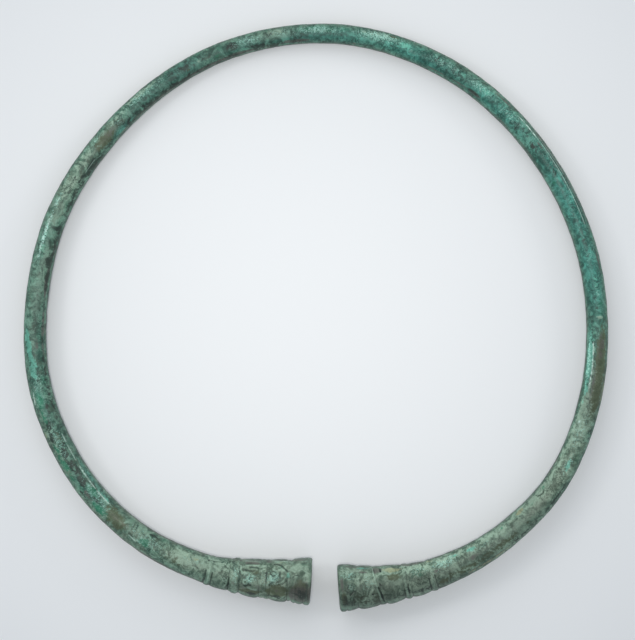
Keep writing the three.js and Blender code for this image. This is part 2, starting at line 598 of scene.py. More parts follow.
LEFT_TERMINAL = Terminal(
    mouldings=(
        Moulding("lip", 1.9, 5.60, 5.95, 5.62, 0.45),
        Moulding("second ring", 1.9, 5.62, 5.80, 5.42, 0.50),
        Moulding("third ring", 1.2, 5.42, 5.55, 4.98, 0.35),
        Moulding("fillet", 0.9, 4.98, 5.12, 5.00, 0.60),
        Moulding("first belly", 4.3, 5.00, 5.32, 4.80, 0.32),
        Moulding("collar by the disc", 1.3, 4.80, 4.96, 4.74, 0.50),
        Moulding("collar by the belly", 1.3, 4.74, 4.84, 4.68, 0.50),
        Moulding("second belly", 5.0, 4.68, 4.90, 4.12, 0.25),
        Moulding("coiled collar", 2.6, 4.12, 4.32, 3.92, 0.40),
        Moulding("third belly", 4.4, 3.92, 4.05, 3.62, 0.32),
        Moulding("last bead", 1.4, 3.62, 3.80, 3.60, 0.50),
    ),
    carving=Carving(
        strokes=(
            # first belly: a leaf by the neck, the arc below it, a scroll and a middle leaf
            Stroke(((9.0, -4.4), (7.4, -4.6), (6.1, -4.5)), 0.75, 0.26),
            Stroke(((9.3, -3.9), (8.2, -3.9), (7.3, -3.6), (6.7, -3.0), (6.2, -2.5)), 0.42, -0.20),
            Stroke(((8.2, -2.5), (7.4, -2.8), (6.7, -2.5), (6.2, -1.8)), 0.42, 0.22),
            Stroke(((9.6, -2.5), (8.8, -2.3), (8.4, -1.6), (8.5, -0.9), (9.1, -0.5), (9.8, -0.4)),
                   0.36, 0.34),
            Stroke(((9.0, -1.4), (9.6, -1.6)), 0.40, 0.26),
            Stroke(((10.2, -0.7), (10.3, 0.0)), 0.50, 0.42),
            Stroke(((8.2, 0.0), (8.9, 0.3), (9.8, 0.2), (10.4, 0.7), (10.8, 1.5)), 0.34, 0.28),
            Stroke(((8.4, 0.9), (9.2, 1.2)), 0.34, 0.24),
            Stroke(((7.8, -2.0), (7.7, -0.7)), 0.36, -0.15),
            Stroke(((6.3, -0.8), (6.8, 0.0), (7.6, 0.6), (8.2, 0.9)), 0.34, 0.20),
            Stroke(((5.3, -1.6), (6.6, -1.3), (7.2, -1.2)), 0.75, 0.16),
            Stroke(((6.1, 0.1), (7.0, 1.0)), 0.30, -0.16),
            # disc: one small hooked cut
            Stroke(((3.2, -1.4), (3.9, -1.4), (4.5, -0.9)), 0.32, -0.14),
            # collar pair: the cut between them and a few worn pearls
            Stroke(((11.1, -3.6), (11.2, -0.9), (11.1, 3.0)), 0.32, -0.12),
            Stroke(((12.3, -0.6), (12.4, -0.2)), 0.36, 0.24),
            Stroke(((11.6, -1.9), (12.4, -1.4)), 0.40, 0.16),
            Stroke(((12.3, 1.1), (12.5, 1.5)), 0.30, 0.18),
            # second belly: shoulder leaf, its crisp lower edge, a groove, a tendril and its curls
            Stroke(((13.2, -3.9), (14.8, -3.9), (16.6, -3.8)), 1.00, 0.26),
            Stroke(((13.2, -3.1), (14.8, -3.1), (16.0, -2.9), (16.8, -2.6), (17.5, -2.2)), 0.30, 0.24),
            Stroke(((13.3, -2.6), (14.4, -2.6), (15.5, -2.6)), 0.38, -0.19),
            Stroke(((13.6, -1.8), (15.0, -1.7), (16.5, -1.7)), 0.32, -0.12),
            Stroke(((15.9, -1.2), (16.7, -0.9), (17.3, -0.9)), 0.55, 0.24),
            Stroke(((17.2, -0.8), (17.7, -1.5), (17.8, -2.4)), 0.34, 0.30),
            Stroke(((14.0, -0.3), (14.7, -0.4), (15.0, -0.9), (15.6, -1.1)), 0.30, 0.26),
            Stroke(((15.5, -0.4), (15.9, 0.2), (15.5, 0.8), (14.9, 1.2)), 0.34, 0.32),
            Stroke(((14.2, 0.6), (14.9, 0.4)), 0.32, 0.26),
            Stroke(((13.4, 2.8), (14.6, 2.8), (15.6, 2.4)), 0.50, 0.18),
            Stroke(((14.9, 1.9), (16.4, 2.3)), 0.34, -0.18),
            Stroke(((17.2, 0.6), (17.6, 1.8)), 0.32, 0.18),
            # third belly: an S that ends in the small boss
            Stroke(((20.6, 0.8), (20.9, 2.0), (21.3, 3.2)), 0.28, 0.18),
            Stroke(((20.4, -3.5), (20.3, -2.5)), 0.34, 0.20),
            Stroke(((21.1, 2.3), (21.2, 2.5)), 0.30, -0.26),
            Stroke(((22.6, -0.6), (23.2, -0.5)), 0.30, 0.10),
            # last grooves, cut only on the outside
            Stroke(((20.4, -2.6), (20.5, -0.8), (20.45, 0.9)), 0.30, -0.07),
            Stroke(((20.4, 0.9), (20.3, 3.6)), 0.30, -0.22),
            Stroke(((24.6, 0.4), (24.5, 3.3)), 0.28, -0.20),
            Stroke(((26.3, 0.2), (26.0, 2.0), (26.3, 3.5)), 0.28, -0.22),
            Stroke(((25.3, -3.0), (25.4, 0.0), (25.3, 3.2)), 0.34, 0.12),
            Stroke(((5.0, -4.6), (5.05, 0.0), (5.0, 4.6)), 0.34, 0.16),
        ),
        bosses=(
            Boss(16.3, 1.25, 0.78, 0.40, 0.46),
            Boss(21.5, 1.4, 0.62, 0.24, 0.26),
            Boss(9.35, -1.5, 0.45, 0.20, 0.0),
        ),
        bands=(CoilBand(18.9, 1.5, 0.52, 0.20),),
        upper=1.0,
        under=0.6,
    ),
)

RIGHT_TERMINAL = Terminal(
    mouldings=(
        Moulding("lip", 1.8, 5.65, 5.93, 5.72, 0.45),
        Moulding("disc", 3.0, 5.72, 5.82, 5.18, 0.30),
        Moulding("first belly", 4.6, 5.18, 5.40, 4.74, 0.35),
        Moulding("slanting collar", 1.8, 4.74, 4.88, 4.64, 0.50),
        Moulding("second belly", 5.0, 4.64, 4.86, 4.16, 0.32),
        Moulding("collar", 1.7, 4.16, 4.42, 4.06, 0.60),
        Moulding("third belly", 4.6, 4.06, 4.26, 3.76, 0.35),
        Moulding("last bead", 1.6, 3.76, 4.02, 3.88, 0.60),
    ),
    carving=Carving(
        strokes=(
            # first belly, nearly worn away
            Stroke(((8.6, -4.1), (7.0, -4.3), (5.8, -4.1)), 0.80, 0.12),
            Stroke(((8.6, -1.6), (7.6, -2.0), (6.6, -1.5)), 0.40, 0.12),
            Stroke(((7.9, 0.4), (7.0, 0.9), (6.2, 0.5)), 0.40, 0.12),
            Stroke(((6.7, -1.4), (6.9, -1.4)), 0.34, -0.20),
            Stroke(((8.2, 2.0), (8.3, 2.1)), 0.34, -0.22),
            Stroke(((6.0, 1.0), (6.0, 1.8)), 0.30, -0.14),
            # collar: a thin slanting ridge and the deep cut behind it
            Stroke(((9.1, -4.4), (9.2, -2.4), (9.4, -0.5), (9.5, 1.4), (9.9, 3.4)), 0.30, 0.28),
            Stroke(((9.8, 0.6), (10.1, 2.0), (10.4, 4.2)), 0.36, -0.34),
            Stroke(((10.3, -0.4), (10.5, 0.0)), 0.30, -0.22),
            Stroke(((11.1, -4.1), (11.1, -3.4)), 0.34, -0.34),
            # second belly and its collar
            Stroke(((15.0, -3.4), (13.4, -3.7), (12.0, -3.4)), 0.80, 0.14),
            Stroke(((14.6, -1.2), (13.4, -0.6), (12.4, -1.0)), 0.40, 0.10),
            Stroke(((17.2, -2.6), (17.2, 1.0)), 0.28, -0.12),
            Stroke(((17.2, 1.0), (17.2, 3.9)), 0.30, -0.26),
            Stroke(((16.4, -3.8), (16.55, -1.5), (16.45, 0.6), (16.6, 3.6)), 0.34, 0.12),
            Stroke(((16.0, -2.2), (16.3, -1.0)), 0.34, 0.12),
            # third belly
            Stroke(((18.6, -1.8), (19.4, -2.6), (20.6, -2.6)), 0.40, 0.12),
            Stroke(((22.6, 0.6), (22.5, 3.3)), 0.30, -0.12),
            Stroke(((23.5, -3.3), (23.3, -0.8), (23.4, 1.0), (23.2, 3.2)), 0.36, 0.10),
            Stroke(((24.1, 0.2), (24.0, 3.4)), 0.28, -0.08),
            # disc: dark hooks cut near its belly
            Stroke(((3.6, 0.9), (3.2, 1.5), (2.8, 1.9)), 0.32, -0.26),
            Stroke(((4.1, 1.1), (3.8, 1.0)), 0.30, -0.20),
            Stroke(((2.5, -0.5), (2.2, 0.1)), 0.28, -0.18),
            Stroke(((4.8, -4.8), (4.95, -1.6), (4.85, 0.8), (5.0, 4.8)), 0.38, 0.14),
            Stroke(((5.4, -2.0), (5.5, 1.0), (5.5, 4.4)), 0.30, -0.07),
        ),
        bosses=(Boss(3.05, 0.05, 0.62, 0.22, 0.26), Boss(19.9, 0.2, 0.55, 0.0, 0.20)),
        upper=1.0,
        under=0.6,
    ),
    collar_at=9.9,
    collar_slant=1.0,
)


@dataclass(frozen=True)
class BarSide:
    """How the plain bar grows towards one terminal.

    Attributes:
        stouter: Growth of the radius on this side of the ring.
        thins_from: Distance from the end face at which that growth starts to fade.
        thins_to: Distance at which it has faded.
        flare: Growth of the radius beside the terminal.
        flare_length: Distance over which the flare fades.
    """

    stouter: float
    thins_from: float
    thins_to: float
    flare: float
    flare_length: float

    def growth(self, distance: np.ndarray, terminal: float) -> np.ndarray:
        """Growth of the radius at distances from the end face, past a terminal of a length."""
        fade = 1 - smooth(self.thins_from, self.thins_to, distance)
        return self.stouter * fade + self.flare * np.exp(-(distance - terminal) / self.flare_length)


@dataclass(frozen=True)
class Bar:
    """The plain round bar, thinnest at the back of the neck."""

    back_radius: float = 2.42
    left: BarSide = BarSide(0.38, 120, 205, 0.84, 24)
    right: BarSide = BarSide(0.22, 178, 228, 1.30, 30)

    def radius(self, along: np.ndarray, length: float) -> np.ndarray:
        """Radius of the bar.

        Args:
            along: Distances from the left end face.
            length: Length of the rod.

        Returns:
            The radius at each distance.
        """
        left = self.left.growth(along, LEFT_TERMINAL.length)
        right = self.right.growth(length - along, RIGHT_TERMINAL.length)
        return self.back_radius + np.maximum(left, right)


# --------------------------------------------------------------------------------- patina masks


class Tone(Enum):
    """Kinds of patina, and the painted shade and painted light, each painted along the rod as a mask of
    its own. Some pale and dark patches of patina also stand for painted light and painted shade.
    """

    TEAL = "teal"
    SAGE = "sage"
    PALE = "pale"
    VERDIGRIS = "verdigris"
    EMERALD = "emerald"
    DARK = "dark"
    UMBER = "umber"
    OLIVE = "olive"
    OCHRE = "ochre"
    FLECK = "fleck"
    GLOSS = "gloss"
    PAINTED_SHADE = "shade"
    PAINTED_LIGHT = "lift"


@dataclass(frozen=True)
class Patch:
    """A patch of one tone, placed as seen from above.

    Attributes:
        along: Distance of its middle from the left end face, in millimetres.
        across: Distance of its middle from the middle of the bar, outwards of the ring positive.
        half_length: Half its length along the bar.
        half_breadth: Half its breadth round the bar.
        strength: How strong it is, 0 to 1.
        lean: How far it drifts round the bar in a millimetre along it.
    """

    along: float
    across: float
    half_length: float
    half_breadth: float
    strength: float = 1.0
    lean: float = 0.0


def spots(*rows: tuple[float, ...]) -> tuple[Patch, ...]:
    """Make patches from rows of their numbers, in the order of the fields."""
    return tuple(Patch(*row) for row in rows)


PATCHES: dict[Tone, tuple[Patch, ...]] = {
    Tone.TEAL: spots(
        (62, -2.2, 7, 0.6, 0.8), (110, 0.4, 22, 2.2, 0.25), (162, -1.5, 4, 0.8, 0.8),
        (183, 0.2, 6, 2.0, 0.6), (222, -0.6, 16, 1.8, 0.8), (246, -0.6, 16, 2.0, 0.9),
        (268, -0.6, 14, 2.0, 0.9), (298, -0.2, 20, 2.4, 1.0), (316, -0.3, 14, 2.4, 1.0),
        (335, -1.9, 10, 0.8, 0.5), (3.8, -0.8, 1.4, 0.8, 0.6), (60, 0.6, 6, 1.4, 0.4),
        (86, 0.8, 8, 1.2, 0.4), (172, -0.4, 8, 1.4, 0.4), (201, -0.4, 10, 1.4, 0.4),
    ),
    Tone.SAGE: spots(
        (10, 0.0, 18, 7.0, 0.85), (420, -0.5, 24, 7.0, 0.85), (395, 0.0, 22, 5.0, 0.6),
        (78, 1.6, 8, 1.2, 0.5), (120, -1.0, 8, 1.4, 0.4), (32, -0.4, 9, 2.6, 0.9),
        (45, -0.6, 7, 2.2, 0.5), (114, 0.4, 10, 1.8, 0.30), (144, 0.2, 11, 2.0, 0.50),
        (158, 0.4, 6, 1.8, 0.40), (352, 0.0, 9, 2.2, 0.7), (372, -0.4, 18, 2.6, 0.9),
        (400, -1.2, 16, 2.4, 0.8), (208, 0.8, 5, 1.4, 0.4), (16, -0.6, 10, 3.4, 0.35),
        (420, -1.6, 14, 2.6, 0.55), (104, 0.4, 5, 1.0, 0.3),
    ),
    Tone.PALE: spots(
        # the long patches at 354, 376, 400 and 418 mm along the inner flank are painted light
        (354, -1.4, 13, 1.1, 0.68), (376, -1.9, 20, 1.2, 0.62), (400, -2.4, 18, 1.3, 0.60),
        (418, -2.8, 13, 1.6, 0.62), (340, -1.6, 7, 0.8, 0.8), (124, 1.6, 9, 0.8, 0.30),
        (8.5, -2.6, 6, 1.8, 0.35), (27, -1.8, 7, 1.5, 0.55), (172, 1.7, 8, 0.7, 0.45),
        (3.6, -3.3, 1.4, 1.2, 0.95), (2.2, -2.0, 1.4, 0.9, 0.5), (5.5, -0.4, 0.3, 1.5, 0.7),
        (12.2, -3.3, 0.6, 0.5, 0.7), (16.6, -0.9, 0.8, 0.5, 0.6), (22.8, -1.2, 1.5, 0.9, 0.6),
        (31, -0.7, 5.0, 1.8, 0.8), (27.6, -0.8, 1.6, 1.2, 0.7), (45.8, 1.3, 1.2, 0.35, 0.8),
        (35.2, -2.3, 0.3, 0.3, 0.8), (54.8, 0.7, 1.0, 0.22, 0.8, -1.1), (55.9, -1.4, 0.5, 0.3, 0.7),
        (88, 2.0, 1.0, 0.2, 0.9), (142, 0.5, 3.2, 1.4, 0.50), (149.5, 0.9, 3.4, 1.2, 0.55),
        (163, 1.0, 3.0, 0.8, 0.4), (188.5, 0.0, 1.8, 0.9, 0.35), (208, 1.2, 2.4, 0.8, 0.4),
        (234, 1.4, 5.0, 0.7, 0.50), (328.6, 0.6, 0.4, 0.9, 0.7), (349, -0.4, 1.8, 1.2, 0.45),
        # the thin patches at 337 and 343 mm and the small one at 355.2 mm are painted highlights
        (355.2, -1.3, 0.4, 0.3, 1.0), (343, -0.95, 4.5, 0.16, 0.8), (337, -0.9, 3.0, 0.14, 0.6),
        (366, -1.0, 6, 1.4, 0.35), (393, -1.6, 10, 1.0, 0.4), (411.5, -1.6, 1.0, 1.2, 0.5),
        (432, -4.3, 1.8, 1.1, 0.6), (429.7, -1.5, 0.4, 1.8, 0.5), (415, -3.2, 2.6, 0.4, 0.45),
        (407, -2.4, 3.0, 0.7, 0.5), (423.0, -3.6, 0.5, 1.0, 0.5), (7.4, -4.5, 1.2, 0.3, 0.5),
    ),
    Tone.VERDIGRIS: spots(
        (95.5, 0.7, 2.8, 0.9, 0.8), (101, 1.5, 4.2, 0.7, 1.0, 0.16), (240.8, 0.6, 1.6, 0.8, 0.8),
        (264.5, 0.8, 1.8, 0.7, 0.6), (257, 0.3, 1.2, 0.7, 0.5), (320, 0.5, 2.4, 0.6, 0.55),
        (340, -1.7, 7.5, 0.80, 1.0), (334, -1.3, 1.0, 0.6, 0.7), (399.2, -2.0, 1.4, 0.5, 0.7),
        (404.0, -2.4, 1.0, 0.5, 0.5), (428, -4.7, 1.4, 0.45, 0.8), (59, -1.7, 4, 0.3, 0.6),
        (5.6, -1.2, 0.8, 0.8, 0.5), (366.5, 0.2, 1.6, 0.5, 0.8), (296, 0.3, 4, 0.8, 0.25),
    ),
    Tone.EMERALD: spots(
        (43.3, 0.5, 1.4, 0.9, 1.0), (57.0, 1.3, 2.6, 0.9, 0.75), (61.5, -0.4, 2.0, 0.7, 0.75),
        (70, 1.7, 3.4, 0.8, 0.70), (74.4, 1.5, 1.6, 0.6, 0.7), (83.5, 1.1, 1.8, 0.6, 0.6),
        (87.4, 0.8, 1.9, 0.9, 0.95), (218, 0.9, 4.5, 0.8, 0.5), (374.5, -2.0, 1.0, 0.5, 0.5),
        (379.8, -1.5, 1.0, 0.5, 0.5), (389.5, -2.1, 0.9, 0.5, 0.5), (338, -2.0, 3.0, 0.4, 0.4),
        (193, -0.6, 1.4, 0.6, 0.3), (225, 1.2, 1.6, 0.6, 0.4), (292, -1.0, 2.0, 0.6, 0.3),
        (7.0, -3.2, 1.4, 0.6, 0.35), (22.4, -2.7, 1.8, 0.4, 0.3), (414.5, -1.3, 2.0, 0.9, 0.25),
        (326, 1.0, 2.0, 1.0, 0.35),
    ),
    Tone.DARK: spots(
        # the long patches at 90, 118, 146, 174 and 205 mm along the inner flank are painted shade
        (118, -2.0, 16, 0.7, 0.62), (146, -1.9, 16, 0.8, 0.60), (174, -1.9, 18, 0.8, 0.64),
        (205, -1.9, 14, 0.8, 0.58), (90, -2.0, 12, 0.6, 0.52), (134, -0.4, 22, 1.8, 0.20),
        (184, 0.6, 5, 1.6, 0.4), (2.4, 3.6, 2.6, 2.4, 0.56), (0.9, 1.6, 0.5, 2.4, 0.5),
        (8.0, 4.2, 2.4, 0.9, 0.55), (14.6, 3.9, 1.4, 0.7, 0.6), (18.8, 3.5, 1.0, 0.6, 0.5),
        (22.6, -2.7, 1.8, 0.35, 0.6), (25.8, -2.4, 1.6, 0.35, 0.6), (41.8, -2.1, 1.6, 0.28, 0.9),
        (65, 0.2, 1.5, 0.9, 1.0), (58.8, 0.4, 1.5, 0.5, 0.8), (67.6, -0.6, 1.8, 0.6, 0.8),
        (73, 0.1, 1.4, 0.8, 0.8), (80.8, 0.8, 1.2, 0.7, 0.8), (62.4, 2.0, 1.5, 0.4, 0.6),
        (70.0, 0.3, 4.0, 1.0, 0.55), (74.5, -0.8, 1.6, 0.6, 0.5), (78.4, 1.3, 1.7, 0.6, 1.0),
        (85.5, -0.5, 1.8, 0.45, 0.6), (88, -2.0, 9, 0.7, 0.4), (104, -1.8, 6, 0.8, 0.4),
        (122.8, -1.4, 2.4, 0.8, 0.7), (131.5, -1.5, 3.0, 0.6, 0.35), (148, -1.3, 5.4, 0.45, 0.8),
        (144.6, 0.0, 0.9, 0.7, 0.5, 0.5), (166, -1.3, 5.0, 0.6, 0.6), (182, 1.0, 3.0, 1.0, 0.45),
        (197, 0.2, 1.3, 1.2, 0.6), (202, -1.3, 3.2, 0.5, 0.6), (206.8, 0.8, 0.8, 0.6, 0.6),
        (213, -1.2, 4.0, 0.6, 0.4), (250, 0.7, 1.6, 0.8, 0.6), (261.5, -1.6, 1.8, 0.5, 0.7),
        (275, -1.4, 3.0, 0.7, 0.35), (281.5, -0.6, 2.2, 0.8, 0.5), (291, 0.3, 3.2, 0.5, 0.4),
        (308, 0.2, 1.6, 0.8, 0.35), (326.4, 0.0, 0.9, 0.6, 0.5), (374.5, 2.2, 3.4, 0.3, 0.9),
        (356, 2.3, 5.0, 0.4, 0.5), (388, 2.6, 10, 0.6, 0.4), (414, 3.0, 2.6, 0.8, 0.6),
        # the broad weak patches at 421, 427.5 and 432 mm over the right terminal's outer half are painted
        # shade
        (421, 2.6, 3.0, 2.2, 0.22), (427.5, 3.0, 3.2, 2.6, 0.28), (432, 3.4, 2.4, 2.6, 0.40),
        (11.2, -1.0, 0.3, 1.6, 0.6), (20.4, 2.4, 0.3, 1.2, 0.5), (24.5, 2.4, 0.3, 1.0, 0.4),
        (26.2, 2.4, 0.35, 1.0, 0.45), (7.0, -5.1, 2.0, 0.25, 0.5), (424.3, 2.6, 0.35, 1.4, 0.7),
        (417.3, 2.6, 0.35, 1.3, 0.7), (423.4, -3.6, 0.3, 0.5, 0.7),
    ),
    Tone.UMBER: spots(
        (2.2, 1.0, 2.2, 1.0, 0.5), (2.4, -5.3, 2.2, 0.5, 0.6), (2.4, 3.6, 2.8, 2.6, 0.95),
        (15, 2.6, 9, 1.4, 0.34), (11.0, -4.4, 1.4, 0.9, 0.6), (14.8, -3.9, 2.2, 0.85, 0.95),
        (18.7, -4.0, 1.0, 0.4, 0.8), (24, -3.8, 5.0, 0.3, 0.4), (37, 3.1, 12, 0.45, 0.6),
        (42, -3.1, 11, 0.35, 0.7), (61.5, 1.1, 1.8, 0.8, 0.7), (91, 1.3, 1.4, 0.5, 0.4),
        (101.5, -0.5, 1.6, 0.6, 0.5), (104, -2.0, 7, 0.6, 0.5), (117.5, -1.9, 3.4, 0.45, 0.95),
        # the long patches at 172 and 192 mm along the inner flank are umber patina and painted shade
        (124, -2.2, 4.0, 0.4, 0.6), (172, -2.2, 12, 0.35, 0.7), (192, -2.0, 12, 0.5, 0.8),
        (196.5, -1.7, 2.0, 0.6, 0.6), (213, -1.7, 3.4, 0.5, 0.8), (228, -2.0, 3.0, 0.3, 0.4),
        (243, -0.3, 1.4, 0.7, 0.4), (251, -2.0, 4.5, 0.35, 0.5), (257, -1.8, 4.0, 0.4, 0.6),
        (261.8, -1.7, 2.0, 0.5, 0.9), (269, 1.9, 2.6, 0.35, 0.7), (272, -2.3, 2.5, 0.25, 0.6),
        (283, -2.3, 4.5, 0.25, 0.7), (290, 2.2, 15, 0.28, 0.8), (283, 1.0, 1.2, 0.3, 0.6),
        (314.5, 2.1, 3.4, 0.35, 0.8), (327, -2.4, 3.4, 0.25, 0.5), (336, 0.9, 4.0, 0.9, 0.6),
        (346, -0.2, 4.0, 0.4, 0.5), (368, -2.8, 4.5, 0.4, 0.6), (378, -2.7, 4.0, 0.3, 0.4),
        (399.5, 0.0, 1.8, 0.6, 0.5), (398, 2.8, 8.0, 0.4, 0.5), (409.2, -0.6, 1.2, 0.5, 0.6),
        (415, -3.9, 3.0, 0.5, 0.7), (424.5, -3.8, 1.4, 1.1, 0.8), (428.2, -3.7, 1.2, 0.35, 0.7),
        (433.6, -0.8, 0.5, 2.0, 0.7), (14.5, 3.9, 1.8, 0.6, 0.4), (159, -0.2, 3.0, 1.2, 0.35),
        (431.4, -5.2, 2.0, 0.4, 0.6),
    ),
    Tone.OLIVE: spots(
        (8.0, 3.0, 2.6, 1.9, 1.0), (14.4, -1.6, 1.8, 0.7, 0.5), (15.0, 3.5, 2.6, 1.0, 0.8),
        (34.5, 0.6, 2.4, 1.2, 0.4), (52.4, 0.1, 3.4, 1.8, 1.0, -0.1), (77, -0.3, 1.8, 0.6, 0.4),
        (157, -0.3, 3.4, 1.5, 0.85), (184.6, -0.6, 0.9, 0.35, 0.5), (237, 1.7, 3.0, 0.4, 0.4),
        (342, 1.2, 10.5, 1.35, 1.0), (333, 1.5, 3.0, 0.7, 0.7), (392, 1.3, 6.0, 1.0, 0.5),
        (403, 1.8, 5.0, 0.9, 0.6), (408.5, 2.4, 1.4, 0.7, 0.7), (420.6, -1.5, 2.0, 0.9, 0.75),
        # the broad patch at 428 mm over the right terminal's outer half is olive patina and painted shade
        (433.2, 2.6, 0.7, 1.8, 0.7), (428, 3.2, 5, 2.4, 0.34), (2.6, 2.8, 2.4, 2.6, 0.9),
        (384, 0.9, 3.0, 0.9, 0.35),
    ),
    Tone.OCHRE: spots(
        (7.6, -4.5, 1.0, 0.25, 0.6), (30, -1.2, 2.2, 0.7, 0.35), (78.5, 2.5, 2.6, 0.25, 0.6),
        (346, 2.5, 5.5, 0.25, 0.8), (383.5, -2.2, 1.4, 0.5, 0.9), (397, 2.9, 7.0, 0.25, 0.6),
        (410.5, -3.4, 1.0, 0.4, 0.6), (420.4, -3.4, 2.2, 0.8, 0.95), (418.5, -3.2, 0.8, 0.5, 0.6),
        (192, -0.9, 1.0, 0.3, 0.3),
    ),
    Tone.FLECK: spots(
        # pale crumbs of crust; the patches at 9.4 mm on the first belly and at 129 and 138 mm are painted
        # glints
        (9.4, -0.4, 1.6, 1.6, 0.95), (15.4, 0.2, 1.6, 1.3, 0.9), (18.8, -0.4, 1.2, 3.0, 0.7),
        (11.8, -0.4, 0.9, 2.2, 0.5), (30, -0.8, 2.4, 0.8, 0.5), (43, 0.0, 6.0, 2.0, 0.5),
        (60, -0.2, 5.0, 1.2, 0.6), (76, 0.4, 6.0, 1.4, 0.55), (92, 0.4, 4.0, 1.4, 0.5),
        (129, 1.2, 6.5, 0.5, 1.0), (138, 1.2, 2.0, 0.6, 0.8), (156, 1.6, 4.0, 0.6, 0.5),
        (172, 1.1, 7.0, 0.9, 0.7), (163, 0.6, 3.0, 1.2, 0.5), (201, 0.6, 4.0, 1.1, 0.8),
        (210, 0.8, 4.0, 1.2, 0.5), (219, 0.8, 5.5, 1.0, 0.95), (234, 1.0, 6.0, 1.2, 0.9),
        (252, 0.7, 5.0, 1.2, 0.7), (262, 0.6, 5.0, 1.2, 0.7), (273, 0.2, 5.0, 1.4, 0.5),
        (286, 0.4, 4.0, 1.0, 0.3), (313, 0.6, 3.0, 1.4, 0.4), (322, 0.8, 4.0, 1.0, 0.4),
        (357, -0.4, 6.0, 1.4, 0.5), (340, -1.9, 7.0, 0.6, 0.9), (366, 0.3, 3.0, 1.0, 0.6),
        (407, -1.8, 4.0, 1.6, 0.7), (397, -1.6, 6.0, 1.2, 0.4), (432, -3.2, 1.8, 1.4, 0.6),
        (427, -0.6, 2.4, 1.8, 0.4), (414, -1.6, 2.4, 1.6, 0.5), (35, -2.4, 0.8, 0.4, 0.4),
        (431.5, 0.0, 0.9, 0.8, 0.6),
    ),
    Tone.GLOSS: spots(
        (62, -1.4, 6.5, 0.7, 1.0), (74.5, -1.3, 4.5, 0.6, 0.8), (129, 1.0, 7.0, 0.9, 0.6),
        (291, 1.4, 16, 1.2, 1.0), (300, 0.0, 14, 1.8, 0.5), (340, -1.2, 9.0, 1.0, 0.9),
        (342, 1.2, 10, 1.2, 0.6), (52.4, 0.1, 3.4, 1.8, 0.5), (8.0, 3.0, 2.6, 1.9, 0.4),
        (3.6, -3.0, 1.6, 1.6, 0.4), (101, 1.2, 5, 1.0, 0.4),
    ),
    # painted shade: patches that darken the colour where the bar and the terminals turn away from the
    # light
    Tone.PAINTED_SHADE: spots(
        (4, 2.2, 7, 2.2, 0.75), (14, 2.6, 8, 1.6, 0.45), (26, 1.4, 6, 1.4, 0.35),
        (47, 0.8, 5, 1.2, 0.35), (84, -1.9, 8, 0.9, 0.35), (110, -0.5, 7, 1.2, 0.60),
        (119, -1.0, 10, 1.0, 0.35), (157, -0.7, 8, 1.2, 0.45), (172, -0.8, 9, 1.3, 0.60),
        (182, -1.2, 7, 2.0, 0.75), (181, 0.7, 7, 1.1, 0.50), (194, 0.3, 8, 1.2, 0.50),
        (206, -0.2, 8, 1.4, 0.50), (217, -0.8, 7, 1.2, 0.75), (216, 0.5, 7, 1.0, 0.45),
        (228, -1.9, 7, 0.9, 0.40), (252, 0.2, 7, 1.5, 0.60), (300, -0.6, 14, 1.0, 0.20),
        (348, 0.6, 7, 1.5, 0.50), (384, 0.9, 9, 1.6, 0.70), (397, 0.7, 10, 1.8, 0.66),
        (411, 2.0, 9, 2.6, 0.78), (422, 2.4, 9, 3.0, 0.90), (431, 2.8, 6, 3.4, 0.85),
        (418, -0.8, 10, 1.2, 0.40), (347, -0.6, 6, 0.9, 0.50), (399, -0.9, 11, 1.1, 0.35),
    ),
    # painted light: patches that brighten the colour where the bar turns towards the light
    Tone.PAINTED_LIGHT: spots(
        (340, -2.3, 8, 0.8, 0.95), (353, -2.4, 8, 0.8, 0.85), (366, -2.1, 8, 1.1, 0.45),
        (398, -2.6, 12, 1.3, 0.60), (411, -2.9, 9, 1.5, 0.85), (421, -3.3, 6, 1.4, 0.60),
        (61, 1.9, 6, 0.7, 0.25), (154, 1.9, 17, 0.9, 0.60), (242, 0.6, 7, 1.8, 0.60),
        (268, 1.9, 8, 0.8, 0.60), (14, -3.4, 7, 1.5, 0.35), (362, 2.2, 6, 0.8, 0.45),
        (129, 0.9, 8, 0.9, 0.60), (206, -2.0, 5, 0.7, 0.50), (36, -2.0, 8, 1.2, 0.30),
    ),
}


